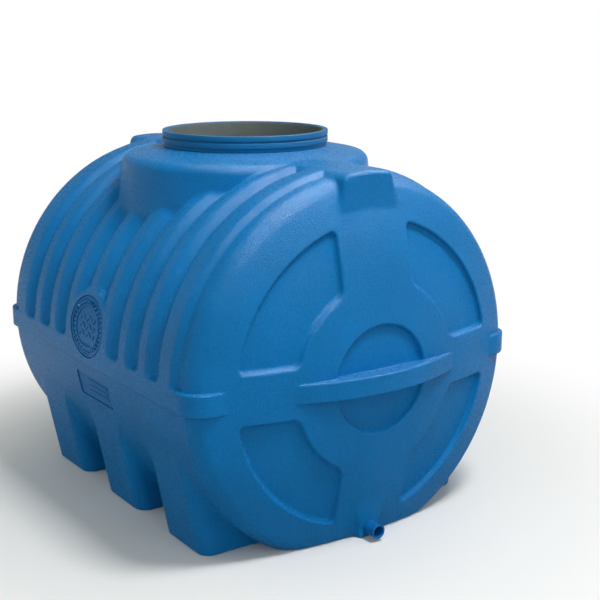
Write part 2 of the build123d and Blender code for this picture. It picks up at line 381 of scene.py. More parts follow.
@dataclass(frozen=True)
class Feet:
    """Six tapered feet, three a side, with a round-topped arch between each two."""

    half_width: float = 0.1275
    pitch: float = 0.418
    arch_top: float = 0.325
    top_z: float = 0.350
    outer_y: float = 0.515
    inner_y: float = 0.293
    lean: float = 0.197
    corner_round: float = 0.046
    arch_fillet: float = 0.030

    def shape(self, p: Array) -> tuple[Array, Array]:
        """All six feet, before they are blended with the barrel.

        Args:
            p: The points as three rows.

        Returns:
            The distance, and how far each point belongs to a foot's side, from 0 to 1.
        """
        outer = (np.abs(p[1]) - self.outer_y - self.lean * p[2]) / math.hypot(1, self.lean)
        radius = self.pitch / 2 - self.half_width
        along = np.abs(np.abs(p[0]) - self.pitch / 2)
        rise = np.maximum(p[2] - self.arch_top + radius, 0)
        arch = radius - np.hypot(along, rise)
        end = np.abs(p[0]) - self.pitch - self.half_width
        side = np.maximum(arch, end)
        foot = common(side, outer, self.corner_round)
        foot = np.maximum(foot, self.inner_y - np.abs(p[1]))
        share = np.clip((side - outer) / self.corner_round + 0.5, 0, 1)
        return np.maximum(foot, p[2] - self.top_z), share


@dataclass(frozen=True)
class OutletBoss:
    """Flat boss low on the front end, which the drain tube comes out of."""

    face_x: float = 0.7100
    half_width: float = 0.036
    flare: float = 0.34
    flare_z: float = 0.045
    top_z: float = 0.200
    depth: float = 0.040
    edge_round: float = 0.011
    fillet: float = 0.017
    hole_radius: float = 0.0215
    hole_z: float = 0.034
    hole_x: float = 0.668

    def hole(self, p: Array) -> Array:
        """The bore behind the drain tube, as the space that it takes away."""
        return np.maximum(np.hypot(p[1], p[2] - self.hole_z) - self.hole_radius, self.hole_x - p[0])

    def shape(self, p: Array) -> Array:
        """The boss before it is blended with the end.

        Args:
            p: The points as three rows.

        Returns:
            The signed distance.
        """
        half = self.half_width + self.flare * np.maximum(p[2] - self.flare_z, 0)
        side = (np.abs(p[1]) - half) / math.hypot(1, self.flare)
        boss = common(side, p[0] - self.face_x, self.edge_round)
        boss = np.maximum(boss, p[2] - self.top_z)
        return np.maximum(boss, self.face_x - self.depth - p[0])


class Zone(Enum):
    """The closed pieces that the moulding is parted into, and what is taken out of it."""

    UPPER = 0
    LOWER = 1
    FRONT = 2
    REAR = 3
    NECK = 4
    MEDALLION = 5
    PLATE = 6


@dataclass
class SkinMesh:
    """Points and four-sided faces of one surface."""

    points: Array
    faces: Array


@dataclass
class Moulding:
    """The hollow body, blended from its sub-assemblies."""

    barrel: Barrel = field(default_factory=Barrel)
    relief: EndRelief = field(default_factory=EndRelief)
    belt: Belt = field(default_factory=Belt)
    beams: CrownBeams = field(default_factory=CrownBeams)
    tower: Tower = field(default_factory=Tower)
    feet: Feet = field(default_factory=Feet)
    boss: OutletBoss = field(default_factory=OutletBoss)
    wall: float = 0.008
    parting_fall: float = 0.045
    side_step: float = 0.0068
    end_step: float = 0.0049
    inner_step: float = 0.016
    overlap: float = 0.032
    shoulder_x: float = 0.5946
    bore_radius: float = 0.266
    medallion_radius: float = 0.102
    medallion_stretch: float = 1.15
    medallion_pad: float = 0.129
    medallion_rise: float = 0.094
    plate_half_length: float = 0.118
    plate_height: float = 0.088
    plate_fall: float = 0.079
    plate_corner: float = 0.006
    recess_depth: float = 0.006
    groove_pad_round: float = 0.012
    small_fillet: float = 0.002
    blend_length: float = 0.025
    least_share: float = 0.05
    slope_reach: float = 2e-4

    def distance(self, p: Array) -> Array:
        """Signed distance from the outer skin, negative inside.

        Args:
            p: The points as three rows.

        Returns:
            The signed distance.
        """
        barrel = self.barrel
        body = barrel.body(p)
        body = without(body, self.relief.recesses(p, barrel), self.relief.lip_round)
        body = joined(body, self.belt.shape(p, barrel), self.belt.fillet)
        rise = p[2] - barrel.axis_z - self.belt.half_height
        fillet = barrel.rib_end_fillet * np.clip(rise / self.blend_length, self.least_share, 1)
        body = joined(body, barrel.crests(p), fillet)
        void = barrel.grooves(p, barrel.axis_z + self.belt.half_height)
        pad = np.hypot(p[0], p[2] - barrel.axis_z - self.medallion_rise) - self.medallion_pad
        pad = np.maximum(pad, p[1])
        void = without(void, pad, self.groove_pad_round)
        body = without(body, void, barrel.crest_round)
        beam, side = self.beams.shape(p, barrel)
        clear = side * np.clip((np.abs(p[0]) - barrel.rib_end_x) / self.blend_length, 0, 1)
        body = joined(body, beam, self.fading(self.beams.fillet, clear))
        clear = np.clip((np.abs(p[1]) - self.beams.half_width) / (2 * self.blend_length), 0, 1)
        fillet = self.fading(self.tower.root_fillet, clear)
        body = joined(body, self.tower.shape(p, barrel), fillet)
        foot, side = self.feet.shape(p)
        body = joined(body, foot, self.fading(self.feet.arch_fillet, side))
        body = joined(body, self.relief.ledges(p, barrel), self.relief.ledge_fillet)
        body = joined(body, self.boss.shape(p), self.boss.fillet)
        body = common(body, -p[2], barrel.base_round)
        return np.maximum(body, -self.boss.hole(p))

    def fading(self, full: float, share: Array) -> Array:
        """Fillet radius from the small one up to a full one, by a share."""
        return self.small_fillet + (full - self.small_fillet) * share

    def medallion_distance(self, p: Array) -> Array:
        """Distance from the medallion's outline, seen from the left side."""
        rise = p[2] - self.barrel.axis_z - self.medallion_rise
        return np.hypot(p[0] / self.medallion_stretch, rise) - self.medallion_radius

    def plate_distance(self, p: Array) -> Array:
        """Distance from the plate's outline, seen from the left side.

        Args:
            p: The points as three rows.

        Returns:
            The signed distance.
        """
        centre_z = self.barrel.axis_z - self.plate_fall - self.plate_height / 2
        half = (self.plate_half_length, self.plate_height / 2)
        return rounded_box_2d(p[0], p[2] - centre_z, *half, self.plate_corner)

    def neck_distance(self, p: Array) -> Array:
        """Distance from the bore of the neck."""
        return np.hypot(p[0], p[1]) - self.bore_radius

    def zone_of(self, p: Array, outer: bool) -> Array:
        """The zone's number at each point of a surface.

        Args:
            p: The points as three rows.
            outer: Whether it is the outer skin, which also has the two recesses.

        Returns:
            One number for each point.
        """
        parting_z = self.barrel.axis_z - self.parting_fall
        zone = np.where(p[2] > parting_z, Zone.UPPER.value, Zone.LOWER.value)
        zone[p[0] > self.shoulder_x] = Zone.FRONT.value
        zone[p[0] < -self.shoulder_x] = Zone.REAR.value
        high = p[2] > self.barrel.axis_z + self.barrel.radius / 2
        zone[high & (self.neck_distance(p) < 0)] = Zone.NECK.value
        if outer:
            left = p[1] < -self.barrel.radius / 2
            zone[left & (self.medallion_distance(p) < 0)] = Zone.MEDALLION.value
            zone[left & (self.plate_distance(p) < 0)] = Zone.PLATE.value
        return zone

    def gradient(self, p: Array) -> Array:
        """Direction in which the distance grows, by central differences.

        Args:
            p: The points as three rows.

        Returns:
            The gradient as three rows.
        """
        reach = self.slope_reach
        grad = np.empty_like(p)
        for axis in range(3):
            step = np.zeros((3, 1))
            step[axis] = reach
            grad[axis] = (self.distance(p + step) - self.distance(p - step)) / (2 * reach)
        return grad


@dataclass(frozen=True)
class NetBox:
    """Block of space that a surface net covers."""

    low: Spot = (-0.832, -0.672, -0.024)
    high: Spot = (0.832, 0.672, 1.212)

    def axes(self, step: float) -> list[Array]:
        """Grid coordinates along the three axes."""
        return [np.arange(a, b + step, step) for a, b in zip(self.low, self.high)]


def surface_net(distance: Callable[[Array], Array], box: NetBox, step: float) -> SkinMesh:
    """Mesh the zero level of a distance with one point in each cell that it crosses.

    Args:
        distance: Signed distance of points given as three rows.
        box: The space to cover, larger than the surface.
        step: Size of a grid cell.

    Returns:
        The points and the four-sided faces, which face outwards.
    """
    xs, ys, zs = box.axes(step)
    shape = (len(xs), len(ys), len(zs))
    grid_y, grid_z = np.meshgrid(ys, zs, indexing="ij")
    values = np.empty(shape)
    for row, x in enumerate(xs):
        points = np.stack([np.full(grid_y.size, x), grid_y.ravel(), grid_z.ravel()])
        values[row] = distance(points).reshape(shape[1:])
    inside = values < 0
    count = np.zeros([n - 1 for n in shape], dtype=np.int8)
    corners = [(i, j, k) for i in (0, 1) for j in (0, 1) for k in (0, 1)]
    for i, j, k in corners:
        count += inside[i:shape[0] - 1 + i, j:shape[1] - 1 + j, k:shape[2] - 1 + k]
    cells = np.argwhere((count > 0) & (count < 8))
    number = np.full(count.shape, -1)
    number[tuple(cells.T)] = np.arange(len(cells))
    total = np.zeros((len(cells), 3))
    weight = np.zeros(len(cells))
    for axis in range(3):
        for start in (c for c in corners if c[axis] == 0):
            near = cells + start
            far = near.copy()
            far[:, axis] += 1
            a = values[tuple(near.T)]
            b = values[tuple(far.T)]
            crossed = (a < 0) != (b < 0)
            share = np.where(crossed, a / np.where(crossed, a - b, 1), 0)
            place = near.astype(float)
            place[:, axis] += share
            total += place * crossed[:, None]
            weight += crossed
    points = (total / weight[:, None] * step + np.array([xs[0], ys[0], zs[0]])).T
    faces = []
    for axis in range(3):
        low = [slice(1, -1)] * 3
        low[axis] = slice(0, -1)
        high = list(low)
        high[axis] = slice(1, None)
        near = inside[tuple(low)]
        far = inside[tuple(high)]
        u, v = (axis + 1) % 3, (axis + 2) % 3
        for leaving in (True, False):
            found = near & ~far if leaving else far & ~near
            edges = np.argwhere(found) + 1
            edges[:, axis] -= 1
            ring = []
            for du, dv in ((-1, -1), (0, -1), (0, 0), (-1, 0)):
                cell = edges.copy()
                cell[:, u] += du
                cell[:, v] += dv
                ring.append(number[tuple(cell.T)])
            quad = np.stack(ring, axis=1)
            faces.append(quad if leaving else quad[:, ::-1])
    return SkinMesh(points, np.concatenate(faces))


@dataclass
class Skin:
    """Triangle mesh on one level of the moulding, which can be cut along curves.

    Each cut is a distance that is zero along its curve, and a point on a cut stays on it.
    """

    mould: Moulding
    offset: float
    step: float
    box: NetBox = field(default_factory=NetBox)
    points: Array = field(default_factory=lambda: np.zeros((3, 0)))
    faces: Array = field(default_factory=lambda: np.zeros((0, 3), dtype=int))
    cuts: list[Callable[[Array], Array]] = field(default_factory=list)
    on_cut: Array = field(default_factory=lambda: np.zeros((0, 0), dtype=bool))
    least_slope: float = 0.1
    pin_rounds: int = 6
    pin_reach: float = 1e-5
    snap_share: float = 0.22
    snap_share_on_cut: float = 0.1

    def level(self, p: Array) -> Array:
        """Distance from this skin's own level."""
        return self.mould.distance(p) - self.offset

    def build(self, rounds: int = 3) -> None:
        """Mesh the level, even out its points and split its faces in triangles.

        Args:
            rounds: How often the points are evened out.
        """
        net = surface_net(self.level, self.box, self.step)
        self.points = self.settle(net.points, 2)
        quads = net.faces
        pairs = np.concatenate([quads[:, [i, (i + 1) % 4]] for i in range(4)])
        count = np.bincount(pairs.ravel(), minlength=self.points.shape[1])
        for _ in range(rounds):
            mean = np.empty_like(self.points)
            for axis in range(3):
                row = self.points[axis]
                total = np.bincount(pairs[:, 0], row[pairs[:, 1]], minlength=len(row))
                total += np.bincount(pairs[:, 1], row[pairs[:, 0]], minlength=len(row))
                mean[axis] = total / count
            self.points = self.settle(0.5 * self.points + 0.5 * mean, 1)
        self.points = self.settle(self.points, 2)
        corner = self.points[:, quads]
        first = np.linalg.norm(corner[:, :, 0] - corner[:, :, 2], axis=0)
        second = np.linalg.norm(corner[:, :, 1] - corner[:, :, 3], axis=0)
        short = (first <= second)[:, None]
        one = np.where(short, quads[:, [0, 1, 2]], quads[:, [0, 1, 3]])
        two = np.where(short, quads[:, [0, 2, 3]], quads[:, [1, 2, 3]])
        self.faces = np.concatenate([one, two])
        self.on_cut = np.zeros((self.points.shape[1], 0), dtype=bool)

    def settle(self, p: Array, rounds: int) -> Array:
        """Move points onto the level along the distance's gradient.

        Args:
            p: The points as three rows.
            rounds: How often they are moved.

        Returns:
            The moved points.
        """
        for _ in range(rounds):
            grad = self.mould.gradient(p)
            length = np.maximum((grad**2).sum(axis=0), self.least_slope)
            p = p - grad * (self.level(p) / length)
        return p

    def pin(self, p: Array, flags: Array) -> Array:
        """Move points onto the level and onto each cut that they are flagged for.

        Args:
            p: The points as three rows.
            flags: One row for each point and one column for each cut.

        Returns:
            The moved points.
        """
        reach = self.pin_reach
        steps = [np.eye(3)[:, [axis]] * reach for axis in range(3)]
        for _ in range(self.pin_rounds):
            rows = [self.level] + self.cuts
            active = np.concatenate([np.ones((p.shape[1], 1), dtype=bool), flags], axis=1)
            jacobian = np.zeros((p.shape[1], len(rows), 3))
            error = np.zeros((p.shape[1], len(rows)))
            for index, row in enumerate(rows):
                error[:, index] = np.where(active[:, index], row(p), 0)
                for axis in range(3):
                    slope = (row(p + steps[axis]) - row(p - steps[axis])) / (2 * reach)
                    jacobian[:, index, axis] = np.where(active[:, index], slope, 0)
            square = jacobian @ jacobian.transpose(0, 2, 1)
            square += np.eye(len(rows)) * np.where(active, 1e-9, 1)[:, None, :]
            weight = np.linalg.solve(square, error[:, :, None])
            move = (jacobian.transpose(0, 2, 1) @ weight)[:, :, 0].T
            p = p - np.clip(move, -self.step, self.step)
        return p

    def cut(self, curve: Callable[[Array], Array]) -> None:
        """Split the triangles along the zero line of a distance.

        Args:
            curve: Signed distance from the cut.
        """
        self.cuts.append(curve)
        self.on_cut = np.pad(self.on_cut, ((0, 0), (0, 1)))
        value = curve(self.points)
        close = np.flatnonzero(np.abs(value) < self.snap_share * self.step)
        free = ~self.on_cut[close, :-1].any(axis=1)
        close = close[free | (np.abs(value[close]) < self.snap_share_on_cut * self.step)]
        self.on_cut[close, -1] = True
        self.points[:, close] = self.pin(self.points[:, close], self.on_cut[close])
        value = curve(self.points)
        side = np.where(self.on_cut[:, -1], 0, np.sign(value)).astype(int)
        sides = side[self.faces]
        mixed = (sides.min(axis=1) < 0) & (sides.max(axis=1) > 0)
        kept = self.faces[~mixed]
        split = self.faces[mixed]
        edges = triangle_edges(split)
        edges = edges[side[edges[:, 0]] * side[edges[:, 1]] < 0]
        edges = np.unique(np.sort(edges, axis=1), axis=0)
        a, b = edges[:, 0], edges[:, 1]
        share = value[a] / (value[a] - value[b])
        fresh = self.points[:, a] * (1 - share) + self.points[:, b] * share
        flags = self.on_cut[a] & self.on_cut[b]
        flags[:, -1] = True
        fresh = self.pin(fresh, flags)
        start = self.points.shape[1]
        number = {(int(u), int(v)): start + i for i, (u, v) in enumerate(edges)}
        self.points = np.concatenate([self.points, fresh], axis=1)
        self.on_cut = np.concatenate([self.on_cut, flags])
        parts: list[tuple[int, int, int]] = []
        for face in split:
            parts.extend(self.split_face([int(v) for v in face], side, number))
        self.faces = np.concatenate([kept, np.array(parts, dtype=int).reshape(-1, 3)])

    @staticmethod
    def split_face(
        face: list[int], side: Array, number: dict[tuple[int, int], int]
    ) -> list[tuple[int, int, int]]:
        """Split one triangle that a cut crosses.

        Args:
            face: The triangle's three points.
            side: Which side of the cut each point is on, 0 on the cut itself.
            number: The new point on each crossed edge.

        Returns:
            The triangles that take its place.
        """
        signs = [int(side[v]) for v in face]
        if 0 in signs:
            turn = signs.index(0)
            o, a, b = face[turn:] + face[:turn]
            m = number[min(a, b), max(a, b)]
            return [(o, a, m), (o, m, b)]
        lone = 1 if signs.count(1) == 1 else -1
        turn = signs.index(lone)
        o, a, b = face[turn:] + face[:turn]
        m = number[min(o, a), max(o, a)]
        n = number[min(o, b), max(o, b)]
        return [(o, m, n), (m, a, b), (m, b, n)]


@dataclass
class PieceMesh:
    """Triangles of one piece, with a normal for each corner."""

    points: list[Array] = field(default_factory=list)
    faces: list[Array] = field(default_factory=list)
    normals: list[Array] = field(default_factory=list)
    total: int = 0

    def add(self, points: Array, faces: Array, normals: Array | None = None) -> None:
        """Add triangles, flat where no normals are given.

        Args:
            points: The triangles' points as three rows.
            faces: Rows of three point numbers.
            normals: A direction for each point as three rows.
        """
        corner = points[:, faces]
        if normals is None:
            first, second, third = (corner[:, :, i] for i in range(3))
            flat = np.cross(second - first, third - first, axis=0)
            flat = flat / np.maximum(np.linalg.norm(flat, axis=0), 1e-15)
            turned = np.repeat(flat[:, :, None], 3, axis=2)
        else:
            turned = normals[:, faces]
        self.points.append(points)
        self.faces.append(faces + self.total)
        self.normals.append(turned.transpose(1, 2, 0).reshape(-1, 3))
        self.total += points.shape[1]

    def to_object(self, name: str) -> bpy.types.Object:
        """Make one mesh object, its equal points joined.

        Args:
            name: The object's name.

        Returns:
            The new object, with its corner normals set.
        """
        points = np.concatenate(self.points, axis=1).T
        faces = np.concatenate(self.faces)
        normals = np.concatenate(self.normals)
        keys = np.round(points * 1e7).astype(np.int64)
        _, first, number = np.unique(keys, axis=0, return_index=True, return_inverse=True)
        faces = number.reshape(-1)[faces]
        a, b, c = faces.T
        sound = (a != b) & (b != c) & (a != c)
        normals = normals[np.repeat(sound, 3)]
        faces = faces[sound]
        mesh = bpy.data.meshes.new(name)
        mesh.from_pydata(points[first].tolist(), [], faces.tolist())
        mesh.shade_smooth()
        mesh.normals_split_custom_set(normals.tolist())
        return placed(name, mesh)


def ordered_edges(edges: Array) -> list[list[int]]:
    """Chain directed edges into lines, closed ones with their first point repeated.

    Args:
        edges: Rows of a start point and an end point.

    Returns:
        The lines of point numbers.
    """
    following = {int(a): int(b) for a, b in edges}
    ends = set(following.values())
    starts = [a for a in following if a not in ends]
    lines = []
    while following:
        line = [starts.pop(0) if starts else next(iter(following))]
        while line[-1] in following:
            line.append(following.pop(line[-1]))
        lines.append(line)
    return lines


def strip_between(outer: Array, inner: Array) -> Array:
    """Triangles that join two lines of points which run side by side.

    Args:
        outer: The outer line's points as rows.
        inner: The inner line's points as rows, numbered on from the outer ones.

    Returns:
        Rows of three point numbers, for the piece on the left of the outer line.
    """
    i, j = 0, 0
    count = len(outer)
    faces = []
    while i < len(outer) - 1 or j < len(inner) - 1:
        can_outer = i < len(outer) - 1
        can_inner = j < len(inner) - 1
        if can_outer and can_inner:
            over = np.linalg.norm(outer[i + 1] - inner[j])
            ahead = over <= np.linalg.norm(outer[i] - inner[j + 1])
        else:
            ahead = can_outer
        if ahead:
            faces.append((i + 1, i, count + j))
            i += 1
        else:
            faces.append((i, count + j, count + j + 1))
            j += 1
    return np.array(faces)


@dataclass
class BodyPieces:
    """The moulding's outer and inner skins, parted into closed pieces."""

    mould: Moulding = field(default_factory=Moulding)

    def skin(self, offset: float, step: float, box: NetBox) -> Skin:
        """Mesh one skin and cut it along the curves between the pieces.

        Args:
            offset: The skin's level.
            step: Size of its cells.
            box: The space that it covers.

        Returns:
            The cut skin.
        """
        mould = self.mould
        skin = Skin(mould, offset, step, box)
        skin.build()
        if box.high[0] > mould.shoulder_x:
            skin.cut(lambda p: p[0] - mould.shoulder_x)
        if box.low[0] < -mould.shoulder_x:
            skin.cut(lambda p: p[0] + mould.shoulder_x)
        if box.low[0] < 0 < box.high[0]:
            skin.cut(lambda p: p[2] - mould.barrel.axis_z + mould.parting_fall)
            skin.cut(lambda p: np.where(p[2] > mould.barrel.crest, mould.neck_distance(p), 1.0))
            if not offset:
                left_y = -mould.barrel.radius / 2
                skin.cut(lambda p: np.where(p[1] < left_y, mould.medallion_distance(p), 1.0))
                skin.cut(lambda p: np.where(p[1] < left_y, mould.plate_distance(p), 1.0))
        return skin

    @staticmethod
    def border(faces: Array, mine: Array, other: Array) -> list[list[int]]:
        """Lines of edges between two sets of faces, in the first set's direction.

        Args:
            faces: Rows of three point numbers.
            mine: Which faces are in the first set.
            other: Which faces are in the second set.

        Returns:
            The lines of point numbers.
        """
        size = int(faces.max()) + 1
        own = triangle_edges(faces[mine])
        back = triangle_edges(faces[other])[:, ::-1]
        shared = np.isin(own[:, 0] * size + own[:, 1], back[:, 0] * size + back[:, 1])
        return ordered_edges(own[shared])

    def build(self) -> dict[Zone, PieceMesh]:
        """Mesh the skins and close each piece along its edges.

        Returns:
            The four closed pieces by their zones.
        """
        mould = self.mould
        inner = self.skin(-mould.wall, mould.inner_step, NetBox())
        far = NetBox().high
        near = mould.shoulder_x - mould.overlap
        end = mould.shoulder_x + mould.overlap
        pieces: dict[Zone, PieceMesh] = {}
        for low_x, high_x, step, zones in (
            (-end, end, mould.side_step, (Zone.UPPER, Zone.LOWER)),
            (near, far[0], mould.end_step, (Zone.FRONT,)),
            (-far[0], -near, mould.end_step, (Zone.REAR,)),
        ):
            box = NetBox((low_x, *NetBox().low[1:]), (high_x, *far[1:]))
            outer = self.skin(0.0, step, box)
            pieces.update(self.closed(outer, inner, zones))
            LOG.info("skin from x %.3f to %.3f has %d triangles", low_x, high_x, len(outer.faces))
        return pieces

    def closed(self, outer: Skin, inner: Skin, zones: tuple[Zone, ...]) -> dict[Zone, PieceMesh]:
        """Closed pieces between an outer and an inner skin.

        Args:
            outer: The outer skin.
            inner: The inner skin.
            zones: The zones whose pieces are made.

        Returns:
            The pieces by their zones.
        """
        mould = self.mould
        outer_zone = mould.zone_of(outer.points[:, outer.faces].mean(axis=2), True)
        inner_zone = mould.zone_of(inner.points[:, inner.faces].mean(axis=2), False)
        outer_normal = self.unit(mould.gradient(outer.points))
        inner_normal = -self.unit(mould.gradient(inner.points))
        pieces = {zone: PieceMesh() for zone in zones}
        for zone, piece in pieces.items():
            piece.add(outer.points, outer.faces[outer_zone == zone.value], outer_normal)
            piece.add(inner.points, inner.faces[inner_zone == zone.value][:, ::-1], inner_normal)
        joints = (
            (Zone.FRONT, Zone.UPPER), (Zone.FRONT, Zone.LOWER), (Zone.REAR, Zone.UPPER),
            (Zone.REAR, Zone.LOWER), (Zone.UPPER, Zone.LOWER), (Zone.UPPER, Zone.NECK),
        )
        for first, second in joints:
            if first not in pieces and second not in pieces:
                continue
            outside, inside = (
                self.border(skin.faces, number == first.value, number == second.value)
                for skin, number in ((outer, outer_zone), (inner, inner_zone))
            )
            for line in outside:
                a = outer.points[:, line].T
                b = self.nearest_line(a, [inner.points[:, other].T for other in inside])
                faces = strip_between(a, b)
                points = np.concatenate([a, b]).T
                if first in pieces:
                    pieces[first].add(points, faces)
                if second in pieces:
                    pieces[second].add(points, faces[:, ::-1])
        for zone, parent in ((Zone.MEDALLION, Zone.UPPER), (Zone.PLATE, Zone.LOWER)):
            if parent in pieces:
                sunk = outer_zone == zone.value
                self.recess(pieces[parent], outer, sunk, outer_zone == parent.value)
        return pieces

    def recess(self, piece: PieceMesh, skin: Skin, chosen: Array, around: Array) -> None:
        """Close a piece's opening with a sunk floor and the walls round it.

        Args:
            piece: The piece that takes the recess.
            skin: Its outer skin.
            chosen: Which of the skin's triangles are sunk.
            around: Which of them belong to the piece.
        """
        normal = self.unit(self.mould.gradient(skin.points))
        sunk = skin.points - normal * self.mould.recess_depth
        piece.add(sunk, skin.faces[chosen], normal)
        for line in self.border(skin.faces, around, chosen):
            count = len(line)
            k = np.arange(count - 1)
            walls = np.concatenate([
                np.stack([k + 1, k, count + k], axis=1),
                np.stack([k + 1, count + k, count + k + 1], axis=1),
            ])
            piece.add(np.concatenate([skin.points[:, line].T, sunk[:, line].T]).T, walls)

    @staticmethod
    def unit(directions: Array) -> Array:
        """Directions scaled to length one."""
        return directions / np.maximum(np.linalg.norm(directions, axis=0), 1e-12)

    @staticmethod
    def nearest_line(line: Array, others: list[Array]) -> Array:
        """The other line that starts or passes nearest, turned to start beside the first.

        Args:
            line: Points of the first line as rows.
            others: The lines to choose from.

        Returns:
            The chosen line's points as rows.
        """
        middle = line.mean(axis=0)
        best = min(others, key=lambda other: float(np.linalg.norm(other.mean(axis=0) - middle)))
        closed = np.linalg.norm(best[0] - best[-1]) < 1e-9
        if closed:
            ring = best[:-1]
            turn = int(np.linalg.norm(ring - line[0], axis=1).argmin())
            ring = np.roll(ring, -turn, axis=0)
            best = np.concatenate([ring, ring[:1]])
        return best


class Sheet:
    """Writes nodes and their links into a node tree."""

    def __init__(self, tree: bpy.types.NodeTree) -> None:
        """Keep the tree that the nodes go into."""
        self.tree = tree

    def node(
        self, kind: str, inputs: dict[str | int, object] | None = None, **settings: object
    ) -> bpy.types.Node:
        """Add one node.

        Args:
            kind: The node's type.
            inputs: Values or output sockets for its inputs, by name or number.
            **settings: Properties of the node.

        Returns:
            The new node.
        """
        node = self.tree.nodes.new(kind)
        for name, value in settings.items():
            setattr(node, name, value)
        for name, value in (inputs or {}).items():
            socket = node.inputs[name]
            if isinstance(value, Socket):
                self.tree.links.new(value, socket)
            else:
                socket.default_value = value
        return node

    def maths(self, operation: str, a: object, b: object = 0.0) -> Socket:
        """Output of a Math node on two numbers or sockets."""
        return self.node("ShaderNodeMath", {0: a, 1: b}, operation=operation).outputs[0]


def blank_sheet(owner: bpy.types.Material | bpy.types.World) -> Sheet:
    """Clear the nodes of a material or a world.

    Args:
        owner: What the nodes belong to.

    Returns:
        The sheet that new nodes are written into.
    """
    owner.use_nodes = True
    owner.node_tree.nodes.clear()
    return Sheet(owner.node_tree)


def channel(value: int) -> float:
    """Scene value of one sRGB channel given in steps of 255."""
    share = value / 255
    return share / 12.92 if share <= 0.04045 else ((share + 0.055) / 1.055) ** 2.4


def linear(red: int, green: int, blue: int) -> Colour:
    """Scene colour of an sRGB colour given in steps of 255."""
    return channel(red), channel(green), channel(blue), 1.0


def scaled(colour: Colour, share: float) -> Colour:
    """A colour made darker or lighter by a share."""
    return colour[0] * share, colour[1] * share, colour[2] * share, 1.0


